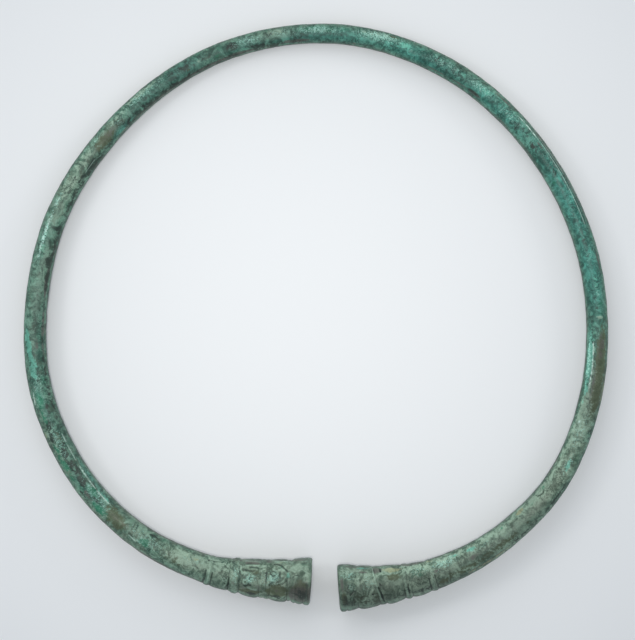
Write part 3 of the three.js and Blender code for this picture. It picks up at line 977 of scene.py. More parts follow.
@dataclass(frozen=True)
class PatinaMap:
    """Paints the masks of all tones on the rod, above as listed and below by turning the bar over.

    Attributes:
        under_shift: How far the patches move along the bar when they are turned under.
        soft_edge: Share of a patch over which its edge fades.
        flank: Greatest share of the radius at which a patch can be placed.
        reach: How far from a patch's middle the radius is still taken.
        usual_radius: Radius taken where the grid has no vertex near.
    """

    under_shift: float = 37.0
    soft_edge: float = 0.80
    flank: float = 0.98
    reach: float = 0.4
    usual_radius: float = 2.7

    def paint(self, along: np.ndarray, angle: np.ndarray, radius: np.ndarray,
              patches: tuple[Patch, ...], length: float) -> np.ndarray:
        """Paint one tone.

        Args:
            along: Distance of each vertex from the left end face.
            angle: Its angle round the bar, 0 outside and a quarter turn on top.
            radius: Its radius.
            patches: The tone's patches.
            length: Length of the rod.

        Returns:
            The mask, 0 to 1, at each vertex.
        """
        mask = np.zeros_like(along)
        for patch in patches:
            near = np.abs(along - patch.along) < self.reach
            local = float(radius[near].mean()) if near.any() else self.usual_radius
            turn = math.acos(max(-self.flank, min(self.flank, patch.across / local)))
            mask = np.maximum(mask, self._spot(along, angle, radius, patch, patch.along, turn))
            turned = (patch.along + self.under_shift) % length
            under = self._spot(along, angle, radius, patch, turned, -turn)
            mask = np.maximum(mask, under)
        return mask

    def _spot(self, along: np.ndarray, angle: np.ndarray, radius: np.ndarray, patch: Patch,
              centre: float, turn: float) -> np.ndarray:
        """Paint one patch, full inside and fading at its edge.

        Args:
            along: Distance of each vertex from the left end face.
            angle: Its angle round the bar.
            radius: Its radius.
            patch: The patch.
            centre: Distance of the patch's middle from the left end face.
            turn: Angle of its middle round the bar.

        Returns:
            The mask, 0 to 1, at each vertex.
        """
        run = along - centre
        round_bar = np.angle(np.exp(1j * (angle - turn))) * radius
        round_bar = round_bar + patch.lean * run * math.copysign(1.0, turn)
        away = np.hypot(run / patch.half_length, round_bar / patch.half_breadth)
        return patch.strength * (1 - smooth(1 - self.soft_edge, 1 + self.soft_edge, away))


# -------------------------------------------------------------------------------------- the rod


@dataclass
class Rod:
    """The straight rod: turned, carved and painted, before it is bent.

    Attributes:
        length: Length from end face to end face, in millimetres.
        bar: The plain bar.
        patina: Painter of the masks.
        terminal_sides: Vertices round a terminal.
        bar_sides: Vertices round the bar.
        terminal_step: Distance between the rings of a terminal.
        bar_step: Distance between the rings of the bar.
        face_rings: Rings on each end face.
        moulding_share: How much of the mouldings counts as relief, for wear and painted highlight on the
            ridges, and for dirt and painted shade in the hollows.
        outside_share: How much more of them counts on the outside of the ring.
        face_fade: Distances from the end face between which relief starts to count.
    """

    length: float
    bar: Bar = field(default_factory=Bar)
    patina: PatinaMap = field(default_factory=PatinaMap)
    terminal_sides: int = 128
    bar_sides: int = 64
    terminal_step: float = 0.185
    bar_step: float = 0.445
    face_rings: int = 9
    moulding_share: float = 0.44
    outside_share: float = 0.30
    face_fade: Span = (0.4, 1.0)

    def mesh(self) -> bpy.types.Mesh:
        """Turn, carve and paint the rod.

        Returns:
            A closed mesh along Y, with X outwards and Z up, whose faces point in: bending
            swaps its hands and turns them out.
        """
        rings = self._rings()
        along = np.concatenate([np.full(count, at) for at, count, _ in rings])
        share = np.concatenate([np.full(count, inner) for _, count, inner in rings])
        angle = np.concatenate([np.arange(count) * math.tau / count for _, count, _ in rings])
        radius, shifted, relief = self._turned(along, angle, share)
        shifted += self._domed(along, share)
        vertices = np.column_stack([radius * np.cos(angle), shifted, radius * np.sin(angle)])
        poles = [[0, -LEFT_TERMINAL.face_dome, 0], [0, self.length + RIGHT_TERMINAL.face_dome, 0]]
        vertices = np.vstack([vertices, poles])
        made = bpy.data.meshes.new("rod")
        made.from_pydata((vertices * MM).tolist(), [], self._faces([count for _, count, _ in rings]))
        self._store(made, "relief", relief)
        for tone, patches in PATCHES.items():
            self._store(made, tone.value, self.patina.paint(along, angle, radius, patches, self.length))
        self._store(made, "along", along)
        self._store(made, "across", radius * np.cos(angle))
        self._store(made, "crown", np.sin(angle))
        return made

    def _rings(self) -> list[tuple[float, int, float]]:
        """List the rings of the rod from left to right.

        Returns:
            Each ring's place, number of vertices, and share of a face's radius.
        """
        faces = [(i + 1) / (self.face_rings + 1) for i in range(self.face_rings)]
        left_end, right_end = LEFT_TERMINAL.length, self.length - RIGHT_TERMINAL.length
        left = np.linspace(0, left_end, round(left_end / self.terminal_step) + 1)
        right = np.linspace(right_end, self.length, round(RIGHT_TERMINAL.length / self.terminal_step) + 1)
        bar = np.linspace(left_end, right_end, round((right_end - left_end) / self.bar_step) + 1)[1:-1]
        rings = [(0.0, self.terminal_sides, inner) for inner in faces]
        rings += [(float(at), self.terminal_sides, 1.0) for at in left]
        rings += [(float(at), self.bar_sides, 1.0) for at in bar]
        rings += [(float(at), self.terminal_sides, 1.0) for at in right]
        rings += [(self.length, self.terminal_sides, inner) for inner in reversed(faces)]
        return rings

    def _turned(self, along: np.ndarray, angle: np.ndarray,
                share: np.ndarray) -> tuple[np.ndarray, np.ndarray, np.ndarray]:
        """Turn the rod and carve its terminals.

        Args:
            along: Distance of each vertex from the left end face.
            angle: Its angle round the bar.
            share: Its share of the radius, under 1 on the end faces.

        Returns:
            Radius, place along the rod and relief of every vertex.
        """
        radius = self.bar.radius(along, self.length)
        relief = np.zeros_like(along)
        shifted = along.copy()
        outside = np.cos(angle)
        for terminal, distance, side in ((LEFT_TERMINAL, along, 1.0),
                                         (RIGHT_TERMINAL, self.length - along, -1.0)):
            here = distance <= terminal.length + SLACK
            base, rise = terminal.section(distance[here])
            shaped = base + rise * (1 + terminal.outside_strength * outside[here])
            place = Unrolled(distance[here], angle[here], shaped)
            carved = terminal.carving.height(place, terminal)
            carved *= smooth(terminal.edge_round, 2 * terminal.edge_round, distance[here])
            radius[here] = shaped + carved
            skin = here & (share == 1.0)
            whole = np.zeros_like(along)
            whole[here] = carved + shaped * (self.moulding_share + self.outside_share * outside[here])
            standing = self._standing_out(whole[skin].reshape(-1, self.terminal_sides)).ravel()
            relief[skin] = standing * smooth(*self.face_fade, distance[skin])
            if terminal.collar_slant:
                shifted[here] += side * -terminal.slant(distance[here], outside[here])
        return radius * share, shifted, relief

    @staticmethod
    def _standing_out(reach: np.ndarray, passes: int = 16) -> np.ndarray:
        """Find how far each vertex stands out from the mean of the surface round it.

        Args:
            reach: Radius of each vertex, a row for each ring.
            passes: Times that the surface is averaged with its neighbours.

        Returns:
            Height over the mean, negative in hollows.
        """
        mean = reach
        for _ in range(passes):
            padded = np.vstack([mean[:1], mean, mean[-1:]])
            mean = (padded[:-2] + 2 * mean + padded[2:]) / 4
            mean = (np.roll(mean, 1, 1) + 2 * mean + np.roll(mean, -1, 1)) / 4
        return reach - mean

    def _domed(self, along: np.ndarray, share: np.ndarray) -> np.ndarray:
        """Bulge the end faces into slight domes, fullest in the middle.

        Args:
            along: Distance of each vertex from the left end face.
            share: Its share of the radius.

        Returns:
            How far each vertex shifts along the rod.
        """
        bulge = 1 - share ** 2
        left = -LEFT_TERMINAL.face_dome * bulge * (along < self.length / 2)
        return left + RIGHT_TERMINAL.face_dome * bulge * (along > self.length / 2)

    def _faces(self, counts: list[int]) -> list[tuple[int, ...]]:
        """List the faces between the rings, and the fans that close both ends.

        Args:
            counts: Number of vertices of each ring.

        Returns:
            Faces, each a row of vertex numbers.
        """
        starts = np.concatenate([[0], np.cumsum(counts)])
        left_pole, right_pole = int(starts[-1]), int(starts[-1]) + 1
        faces: list[tuple[int, ...]] = []
        first = counts[0]
        faces += [(left_pole, (i + 1) % first, i) for i in range(first)]
        for row, (low, high) in enumerate(zip(counts, counts[1:])):
            a, b = int(starts[row]), int(starts[row + 1])
            faces += self._strip(a, low, b, high)
        last, start = counts[-1], int(starts[-2])
        faces += [(right_pole, start + i, start + (i + 1) % last) for i in range(last)]
        return faces

    @staticmethod
    def _strip(a: int, low: int, b: int, high: int) -> list[tuple[int, ...]]:
        """List the faces between two rings, which may halve or double their number of vertices.

        Args:
            a: First vertex of one ring.
            low: Its number of vertices.
            b: First vertex of the next ring.
            high: Its number of vertices.

        Returns:
            The faces.
        """
        if low == high:
            return [(a + i, a + (i + 1) % low, b + (i + 1) % low, b + i) for i in range(low)]
        faces = []
        for i in range(min(low, high)):
            if low > high:
                p, q, r = a + 2 * i, a + 2 * i + 1, a + (2 * i + 2) % low
                s, t = b + i, b + (i + 1) % high
                faces += [(p, q, s), (q, t, s), (q, r, t)]
            else:
                p, q = a + i, a + (i + 1) % low
                r, s, t = b + 2 * i, b + 2 * i + 1, b + (2 * i + 2) % high
                faces += [(p, s, r), (p, q, s), (q, t, s)]
        return faces

    @staticmethod
    def _store(mesh: bpy.types.Mesh, name: str, values: np.ndarray) -> None:
        """Keep a number for each vertex on the mesh, the two poles included.

        Args:
            mesh: The rod's mesh.
            name: Name that the material reads.
            values: Number of each vertex but the poles.
        """
        made = mesh.attributes.new(name, "FLOAT", "POINT")
        padded = np.concatenate([values, values[:1], values[-1:]]).astype(np.float32)
        made.data.foreach_set("value", padded)


# ---------------------------------------------------------------------------- bending, corroding


@dataclass(frozen=True)
class Corrosion:
    """Sizes of the roughness that burial left on the bronze, in millimetres."""

    lump_height: float = 0.30
    crust_height: float = 0.10
    pit_depth: float = 0.16
    lump_per_mm: float = 0.30
    lump_detail: float = 2.0
    crust_per_mm: float = 1.5
    crust_detail: float = 3.0
    pits_per_mm: float = 0.9
    pitted_per_mm: float = 0.12
    pitted_detail: float = 1.0
    pitted_span: Span = (0.5, 0.62)
    pit_span: Span = (0.08, 0.26)
    plain_crust: float = 0.30
    flecked_crust: float = 0.9
    gloss_evens: float = 0.8
    crust_shift: float = 11.0
    pitted_shift: float = 23.0


class BendingTree:
    """The Geometry Nodes tree that bends the rod round the neck line and corrodes it."""

    INPUTS = (
        ("Rod", "NodeSocketGeometry"), ("Neck Line", "NodeSocketObject"),
        ("Finish", "NodeSocketMaterial"), ("Lump Height", "NodeSocketFloat"),
        ("Crust Height", "NodeSocketFloat"), ("Pit Depth", "NodeSocketFloat"),
        ("Seed", "NodeSocketFloat"),
    )

    def __init__(self, corrosion: Corrosion) -> None:
        """Build the tree.

        Args:
            corrosion: Sizes of the roughness that it lays on.
        """
        self.corrosion = corrosion
        self.group = bpy.data.node_groups.new("bend and corrode", "GeometryNodeTree")
        self.sockets = {
            name: self.group.interface.new_socket(name=name, in_out="INPUT", socket_type=kind).identifier
            for name, kind in self.INPUTS
        }
        self.group.interface.new_socket(name="Torc", in_out="OUTPUT", socket_type="NodeSocketGeometry")
        bench = Bench(self.group)
        self._inputs = bench.node("NodeGroupInput")
        bent = self._bend(bench)
        corroded = self._corrode(bench, bent)
        smooth_shaded = bench.out("GeometryNodeSetShadeSmooth", None, {"Geometry": corroded})
        real = bench.out("GeometryNodeRealizeInstances", None, {"Geometry": smooth_shaded})
        finished = bench.out(
            "GeometryNodeSetMaterial", None, {"Geometry": real, "Material": self._get(bench, "Finish")})
        bench.node("NodeGroupOutput", None, {"Torc": finished})

    def apply(self, rod: bpy.types.Object, neck_line: bpy.types.Object,
              finish: bpy.types.Material) -> bpy.types.Mesh:
        """Run the tree on the rod.

        Args:
            rod: Object that holds the straight rod.
            neck_line: Curve that it is bent round.
            finish: Material of the finished piece.

        Returns:
            The bent ring as a plain mesh.
        """
        modifier = rod.modifiers.new("bend", "NODES")
        modifier.node_group = self.group
        values = {
            "Neck Line": neck_line, "Finish": finish, "Lump Height": self.corrosion.lump_height * MM,
            "Crust Height": self.corrosion.crust_height * MM, "Pit Depth": self.corrosion.pit_depth * MM,
            "Seed": SEED,
        }
        for name, value in values.items():
            modifier[self.sockets[name]] = value
        depsgraph = bpy.context.evaluated_depsgraph_get()
        ring = bpy.data.meshes.new_from_object(
            rod.evaluated_get(depsgraph), preserve_all_data_layers=True, depsgraph=depsgraph)
        rod.modifiers.remove(modifier)
        return ring

    def _get(self, bench: Bench, name: str) -> Signal:
        """One of the tree's own inputs."""
        return Signal(bench, self._inputs.outputs[name])

    def _bend(self, bench: Bench) -> Signal:
        """Carry every vertex from the straight rod to the neck line.

        Args:
            bench: The tree's bench.

        Returns:
            The bent geometry.
        """
        place = bench.node("ShaderNodeSeparateXYZ", None, {0: bench.out("GeometryNodeInputPosition")})
        outward, along, upward = (Signal(bench, place.outputs[i]) for i in range(3))
        line = bench.out("GeometryNodeObjectInfo", None, {"Object": self._get(bench, "Neck Line")},
                         "Geometry")
        sample = bench.node("GeometryNodeSampleCurve", {"mode": "LENGTH"},
                            {"Curves": line, "Length": along})
        total, tangent = (Signal(bench, sample.outputs[name]) for name in ("Position", "Tangent"))
        away = bench.out("ShaderNodeVectorMath", {"operation": "CROSS_PRODUCT"},
                         {0: (0, 0, 1), 1: tangent})
        parts = (bench.scaled(away, outward), bench.out("ShaderNodeCombineXYZ", None, {"Z": upward}),
                 bench.scaled(tangent, self._overshoot(along)))
        for part in parts:
            total = bench.out("ShaderNodeVectorMath", {"operation": "ADD"}, {0: total, 1: part})
        return bench.out("GeometryNodeSetPosition", None,
                         {"Geometry": self._get(bench, "Rod"), "Position": total})

    @staticmethod
    def _overshoot(along: Signal) -> Signal:
        """How far a vertex lies past either end of the neck line, as the domed faces do."""
        return along.least(0.0) + (along - NECK.length() * MM).most(0.0)

    def _corrode(self, bench: Bench, bent: Signal) -> Signal:
        """Push the surface in and out by lumps, crust and pits.

        Args:
            bench: The tree's bench.
            bent: The bent geometry.

        Returns:
            The corroded geometry.
        """
        sizes = self.corrosion
        place = bench.scaled(bench.out("GeometryNodeInputPosition"), 1 / MM)
        seed = self._get(bench, "Seed")
        flecked, glossy = (
            bench.out("GeometryNodeInputNamedAttribute", {"data_type": "FLOAT"}, {"Name": tone.value})
            for tone in (Tone.FLECK, Tone.GLOSS))
        uneven = 1 - sizes.gloss_evens * glossy
        rough = (sizes.plain_crust + sizes.flecked_crust * flecked) * uneven
        lump = self._noise(bench, place, seed, sizes.lump_per_mm, sizes.lump_detail)
        crust = self._noise(bench, place, seed + sizes.crust_shift, sizes.crust_per_mm,
                            sizes.crust_detail)
        lump, crust = lump - NOISE_MIDDLE, crust - NOISE_MIDDLE
        where = self._noise(bench, place, seed + sizes.pitted_shift, sizes.pitted_per_mm,
                            sizes.pitted_detail)
        cells = bench.out("ShaderNodeTexVoronoi", {"voronoi_dimensions": "4D"},
                          {"Vector": place, "W": seed, "Scale": sizes.pits_per_mm})
        pits = (1 - cells.rise(*sizes.pit_span)) * where.rise(*sizes.pitted_span) * uneven
        height = lump * self._get(bench, "Lump Height") + crust * rough * self._get(bench, "Crust Height")
        height = height - pits * self._get(bench, "Pit Depth")
        push = bench.scaled(bench.out("GeometryNodeInputNormal"), height)
        return bench.out("GeometryNodeSetPosition", None, {"Geometry": bent, "Offset": push})

    @staticmethod
    def _noise(bench: Bench, place: Signal, seed: Signal, per_mm: float, detail: float) -> Signal:
        """Noise of one size, seeded by the tree's input."""
        return bench.out("ShaderNodeTexNoise", {"noise_dimensions": "4D"},
                         {"Vector": place, "W": seed, "Scale": per_mm, "Detail": detail})


# ------------------------------------------------------------------------------------ the finish


@dataclass(frozen=True)
class Streak:
    """A thin line along the upper side of the bar: a painted highlight on polished metal, a dark line, or
    crust.

    Attributes:
        start: Where it starts, from the left end face in millimetres.
        stop: Where it stops.
        across: Distance from the middle of the bar, outwards of the ring positive.
        half_width: Half its width.
        strength: How strong it is.
        slope: How far it drifts across the bar in a millimetre along it.
        wobble: How far the crumbling crust pushes it about.
    """

    start: float
    stop: float
    across: float
    half_width: float
    strength: float = 1.0
    slope: float = 0.0
    wobble: float = 0.0


def streaks(*rows: tuple[float, ...]) -> tuple[Streak, ...]:
    """Make streaks from rows of their numbers, in the order of the fields."""
    return tuple(Streak(*row) for row in rows)


# painted highlights: near-white lines and dashes where the lamps glint on the bar, which are also made
# glossier as polish
HIGHLIGHT_AND_POLISH_LINES: tuple[Streak, ...] = streaks(
    (56.2, 60.6, -1.36, 0.17, 0.75, 0.0, 0.5), (61.4, 64.6, -1.36, 0.14, 0.6, 0.0, 0.5),
    (65.0, 68.4, -1.42, 0.17, 0.75, 0.0, 0.5), (70.2, 74.8, -1.42, 0.12, 0.40, 0.0, 0.5),
    (75.6, 77.8, -1.42, 0.15, 0.55, 0.0, 0.5), (147.5, 151.5, -1.32, 0.08, 0.35, 0.0, 0.4),
    (274.4, 275.8, 1.62, 0.10, 0.9), (276.6, 280.2, 1.61, 0.13, 1.1),
    (280.4, 305.0, 1.62, 0.08, 0.65, -0.006), (281.0, 292.0, 2.10, 0.06, 0.35, -0.006),
    (334.8, 338.2, -1.10, 0.15, 0.85, 0.03, 0.3), (338.9, 343.2, -1.00, 0.15, 0.85, 0.015, 0.3),
    (343.6, 346.6, -1.02, 0.17, 1.0, 0.015, 0.3), (355.0, 355.6, -1.28, 0.20, 1.2),
    (86.8, 89.8, 2.25, 0.12, 0.8, -0.09, 0.4), (123.2, 123.8, 1.45, 0.17, 0.8, 0.0, 1.2),
    (124.4, 124.9, 1.10, 0.17, 0.8, 0.0, 1.2), (125.6, 126.3, 1.35, 0.18, 0.9, 0.0, 1.2),
    (126.6, 127.2, 1.02, 0.18, 0.9, 0.0, 1.2), (127.8, 128.6, 1.30, 0.20, 1.1, 0.0, 1.2),
    (128.8, 129.4, 1.62, 0.15, 0.8, 0.0, 1.2), (129.6, 130.4, 1.15, 0.20, 1.1, 0.0, 1.2),
    (130.6, 131.2, 1.46, 0.18, 1.0, 0.0, 1.2), (131.4, 132.3, 1.02, 0.20, 1.2, 0.0, 1.2),
    (132.2, 132.9, 1.36, 0.18, 1.0, 0.0, 1.2), (133.3, 133.9, 1.10, 0.17, 0.9, 0.0, 1.2),
    (136.6, 137.3, 1.30, 0.16, 0.9, 0.0, 1.2), (138.0, 138.6, 1.15, 0.16, 0.8, 0.0, 1.2),
    (45.0, 47.2, 1.45, 0.14, 0.6, -0.1, 0.5),
)
# dark lines beside some of the highlight lines
DARK_LINES: tuple[Streak, ...] = streaks(
    (276, 306, 1.90, 0.11, 0.75, -0.006), (146, 151.5, -1.05, 0.12, 0.6), (331, 346, 2.32, 0.14, 0.8),
    (371, 377, 2.10, 0.16, 0.9),
)


@dataclass(frozen=True)
class Layer:
    """One tone laid over the ground: its colour, how ragged its edge is and how well it covers."""

    tone: Tone
    shade: Colour
    raggedness: float
    cover: float


@dataclass(frozen=True)
class Blend:
    """How much of each noise goes into one varying value of the patina."""

    level: float = 0.0
    cloud: float = 0.0
    mottle: float = 0.0
    crumble: float = 0.0
    grain: float = 0.0

    def of(self, noises: dict[str, Signal]) -> Signal:
        """Add up the level and the noises.

        Args:
            noises: The patina's noises by name, each about zero.

        Returns:
            The blended value.
        """
        total: Signal | float = self.level
        for name, noise in noises.items():
            weight = getattr(self, name)
            total = weight * noise + total if weight else total
        return total


@dataclass(frozen=True)
class Patina:
    """The green patina of buried bronze, as one material that mixes its tones by their masks, with
    painted highlights, glints and shade among them.
    """

    deep: Colour = colour(38, 84, 68)
    middle: Colour = colour(106, 146, 126)
    moss: Colour = colour(70, 88, 70)
    teal_deep: Colour = colour(10, 88, 76)
    teal_light: Colour = colour(74, 154, 138)
    sage_deep: Colour = colour(84, 106, 86)
    sage_light: Colour = colour(150, 170, 148)
    emerald: Colour = colour(36, 132, 98)
    dark: Colour = colour(34, 54, 44)
    umber: Colour = colour(86, 84, 78)
    # pale crust, also used for the painted glints
    fleck: Colour = colour(168, 220, 202)
    # near white of the painted highlights
    polish_and_painted_highlight: Colour = colour(196, 226, 212)
    # worn bronze and painted highlight on the raised carving
    ridge: Colour = colour(156, 190, 168)
    # dark patina in the hollows of the carving, deepened as painted shade
    hollow: Colour = colour(26, 50, 38)
    layers: tuple[Layer, ...] = (
        Layer(Tone.PALE, colour(146, 172, 150), 1.0, 0.72),
        Layer(Tone.OLIVE, colour(88, 100, 70), 0.8, 0.85),
        Layer(Tone.UMBER, umber, 0.8, 0.82),
        Layer(Tone.DARK, dark, 0.7, 0.88),
        Layer(Tone.VERDIGRIS, colour(96, 172, 150), 0.9, 0.85),
        Layer(Tone.EMERALD, emerald, 1.3, 0.72),
        Layer(Tone.OCHRE, colour(146, 150, 112), 1.0, 0.75),
    )

    # noises: the broad cloud, the mottling, the crumbling crust, its grain, and where they sit
    cloud: Noise = Noise(0.15, 3.0, 0.5, 0.3, 9.0)
    mottle: Noise = Noise(0.42, 4.0, 0.6, 1.6, 5.0)
    crumble: Noise = Noise(1.25, 4.0, 0.62, 1.4, 7.0)
    grain: Noise = Noise(4.2, 3.0, 0.6, 0.4, 3.0)
    crust_places: Noise = Noise(0.12, 2.0, 0.5, 0.6, 31.0)
    stain: Noise = Noise(0.33, 4.0, 0.62, 1.8, 41.0)
    crumbs: Noise = Noise(1.7, 3.0, 0.6, 1.8, 17.0)

    # what the noises vary: light of the ground, edges of the tones, brightness, gloss and height
    light: Blend = Blend(0.50, 1.1, 2.3, 1.8, 0.8)
    ragged: Blend = Blend(0.0, 0.0, 2.2, 1.5, 0.5)
    bright: Blend = Blend(0.84, 0.0, 1.0, 0.9, 0.9)
    dull: Blend = Blend(0.50, 0.0, 0.0, 0.0, 0.8)
    rise: Blend = Blend(0.0, 0.0, 1.6, 1.8, 1.0)

    # where each part of the finish starts and is full, and how strong it is
    crust_span: Span = (0.46, 0.58)
    least_crust: float = 0.35
    light_span: Span = (0.08, 0.95)
    moss_span: Span = (0.52, 0.60)
    moss_cover: float = 0.6
    emerald_span: Span = (0.38, 0.46)
    emerald_cover: float = 0.30
    edge_span: Span = (0.26, 0.66)
    reach_span: Span = (0.02, 0.30)
    fleck_push: float = 0.18
    fleck_span: Span = (0.61, 0.69)
    fleck_cover: Pair = (0.22, 0.72)
    ridge_span: Span = (0.03, 0.16)
    ridge_level: Pair = (0.80, 1.5)
    ridge_cover: float = 0.70
    pits_per_mm: float = 1.1
    pit_span: Span = (0.06, 0.24)
    pitted_span: Span = (-0.02, 0.06)
    pit_cover: float = 0.55
    hollow_span: Span = (0.015, 0.12)
    hollow_cover: float = 0.74
    flank_span: Span = (0.05, 0.45)
    flank_keeps: float = 0.45
    # painted shade and painted light: how far their masks darken or brighten the colour
    painted_shade_depth: float = 0.5
    painted_light_gain: float = 0.5
    least_bright: float = 0.28
    dark_line_cover: float = 0.8
    fleck_dulls: float = 0.12
    gloss_shines: float = 0.22
    polish_shines: float = 0.25
    least_rough: float = 0.16
    fleck_stands: float = 0.35
    polish_stands: float = 0.5
    bump_strength: float = 0.6
    bump_height: float = 0.10
    refraction: float = 1.5
    line_edge: Span = (0.4, 1.6)
    line_start_fade: float = 0.4
    line_stop_fade: float = 0.5
    line_break: Pair = (0.75, 5.0)

    def material(self) -> bpy.types.Material:
        """Build the material.

        Returns:
            A node material that reads Object coordinates and the masks on the mesh.
        """
        made = bpy.data.materials.new("patinated bronze")
        made.use_nodes = True
        made.node_tree.nodes.clear()
        bench = Bench(made.node_tree)
        place = bench.scaled(bench.out("ShaderNodeTexCoord", None, None, "Object"), 1 / MM)
        masks = {tone: self._mask(bench, tone.value) for tone in Tone}
        noises = self._noises(bench, place, masks[Tone.FLECK])
        crumble = noises["crumble"]
        relief = self._mask(bench, "relief")
        base = self._ground(bench, masks, place, self.light.of(noises))
        base = self._laid(bench, base, masks, self.ragged.of(noises))
        base, flecks = self._speckled(bench, base, masks, relief, place, crumble)
        # the painted shade and the painted light scale the brightness
        level = 1 - self.painted_shade_depth * masks[Tone.PAINTED_SHADE] + self.painted_light_gain * masks[Tone.PAINTED_LIGHT]
        base = self._shaded(bench, base, relief, self.bright.of(noises) * level)
        # painted highlights along the bar, near white and glossy, and dark lines beside them
        polish_and_painted_highlight = self._lines(bench, HIGHLIGHT_AND_POLISH_LINES, crumble)
        dark_line_mask = self._lines(bench, DARK_LINES, crumble)
        base = bench.mix(bench.mix(base, self.dark, dark_line_mask * self.dark_line_cover), self.polish_and_painted_highlight, polish_and_painted_highlight)
        rough = self.dull.of(noises) + self.fleck_dulls * flecks - self.gloss_shines * masks[Tone.GLOSS]
        rough = (rough - self.polish_shines * polish_and_painted_highlight).most(self.least_rough)
        height = self.rise.of(noises) + self.fleck_stands * flecks + self.polish_stands * polish_and_painted_highlight
        bump = bench.out(
            "ShaderNodeBump", None,
            {"Height": height, "Strength": self.bump_strength, "Distance": self.bump_height * MM})
        surface = bench.out(
            "ShaderNodeBsdfPrincipled", None,
            {"Base Color": base, "Roughness": rough, "Normal": bump, "IOR": self.refraction})
        bench.node("ShaderNodeOutputMaterial", None, {"Surface": surface})
        return made

    @staticmethod
    def _mask(bench: Bench, name: str) -> Signal:
        """Read one of the numbers kept on the mesh."""
        return bench.out("ShaderNodeAttribute", {"attribute_name": name}, None, "Fac")

    def _noises(self, bench: Bench, place: Signal, flecked: Signal) -> dict[str, Signal]:
        """Make the noises that the patina blends.

        Args:
            bench: The material's bench.
            place: Place in millimetres.
            flecked: Mask of the crusted patches.

        Returns:
            The noises by name, each about zero.
        """
        crusted = bench.noise(place, self.crust_places).rise(*self.crust_span).most(flecked)
        crusted = self.least_crust + (1 - self.least_crust) * crusted
        return {
            "cloud": bench.noise(place, self.cloud) - NOISE_MIDDLE,
            "mottle": bench.noise(place, self.mottle) - NOISE_MIDDLE,
            "crumble": (bench.noise(place, self.crumble) - NOISE_MIDDLE) * crusted,
            "grain": (bench.noise(place, self.grain) - NOISE_MIDDLE) * crusted,
        }

    def _ground(self, bench: Bench, masks: dict[Tone, Signal], place: Signal, light: Signal) -> Signal:
        """Make the ground colour: mottled green that leans to teal or sage, with stains of its own.

        Args:
            bench: The material's bench.
            masks: Mask of each tone.
            place: Place in millimetres.
            light: How light the ground is.

        Returns:
            The colour.
        """
        light = light.rise(*self.light_span)
        stain = bench.noise(place, self.stain)
        emerald = 1 - stain.rise(*self.emerald_span)
        green = bench.mix(self.deep, self.middle, light)
        green = bench.mix(green, self.moss, stain.rise(*self.moss_span) * self.moss_cover)
        green = bench.mix(green, self.emerald, emerald * self.emerald_cover)
        teal = bench.mix(self.teal_deep, self.teal_light, light)
        sage = bench.mix(self.sage_deep, self.sage_light, light)
        return bench.mix(bench.mix(green, teal, masks[Tone.TEAL]), sage, masks[Tone.SAGE])

    def _laid(self, bench: Bench, base: Signal, masks: dict[Tone, Signal], ragged: Signal) -> Signal:
        """Lay the other tones over the ground, each with a ragged edge.

        Args:
            bench: The material's bench.
            base: The ground colour.
            masks: Mask of each tone.
            ragged: Noise that tears the edges, turned about for every other tone.

        Returns:
            The colour.
        """
        for layer in self.layers:
            mask = masks[layer.tone]
            edge = (mask + ragged * layer.raggedness).rise(*self.edge_span)
            base = bench.mix(base, layer.shade, edge * layer.cover * mask.rise(*self.reach_span))
            ragged = ragged * -1.0
        return base

    def _speckled(self, bench: Bench, base: Signal, masks: dict[Tone, Signal], relief: Signal,
                  place: Signal, crumble: Signal) -> tuple[Signal, Signal]:
        """Strew pale crumbs of crust, some of them painted glints, and dark pits, and make the ridges
        bright with wear and a painted highlight.

        Args:
            bench: The material's bench.
            base: The colour so far.
            masks: Mask of each tone.
            relief: Height over the surface round it.
            place: Place in millimetres.
            crumble: Noise of the crumbling crust.

        Returns:
            The colour, and the mask of the crumbs.
        """
        crumbs = bench.noise(place, self.crumbs)
        # pale crumbs of crust, painted glints where the flecked patches are strongest
        flecks = (crumbs + self.fleck_push * masks[Tone.FLECK]).rise(*self.fleck_span)
        everywhere, more = self.fleck_cover
        base = bench.mix(base, self.fleck, flecks * (everywhere + more * masks[Tone.FLECK]))
        # raised carving made pale by wear and by a painted highlight
        worn, uneven = self.ridge_level
        high = relief.rise(*self.ridge_span) * (worn + uneven * crumble)
        base = bench.mix(base, self.ridge, high.most(0.0) * self.ridge_cover)
        cells = bench.out("ShaderNodeTexVoronoi", {"voronoi_dimensions": "4D"},
                          {"Vector": place, "W": SEED, "Scale": self.pits_per_mm})
        pits = (1 - cells.rise(*self.pit_span)) * crumble.rise(*self.pitted_span)
        return bench.mix(base, self.dark, pits * self.pit_cover), flecks

    def _shaded(self, bench: Bench, base: Signal, relief: Signal, light: Signal) -> Signal:
        """Darken the hollows of the carving with dark patina and painted shade, darken the flanks of the
        bar towards umber as patina and painted shade, and vary all of it.

        Args:
            bench: The material's bench.
            base: The colour so far.
            relief: Height over the surface round it.
            light: Brightness of each place, with the painted shade and painted light in it.

        Returns:
            The colour.
        """
        # dark patina and painted shade in the hollows of the carving
        base = bench.mix(base, self.hollow, (relief * -1.0).rise(*self.hollow_span) * self.hollow_cover)
        # umber patina and painted shade on the flanks of the bar, away from its top
        top = self._mask(bench, "crown").rise(*self.flank_span)
        base = bench.mix(self.umber, base, self.flank_keeps + (1 - self.flank_keeps) * top)
        return bench.scaled(base, light.most(self.least_bright))

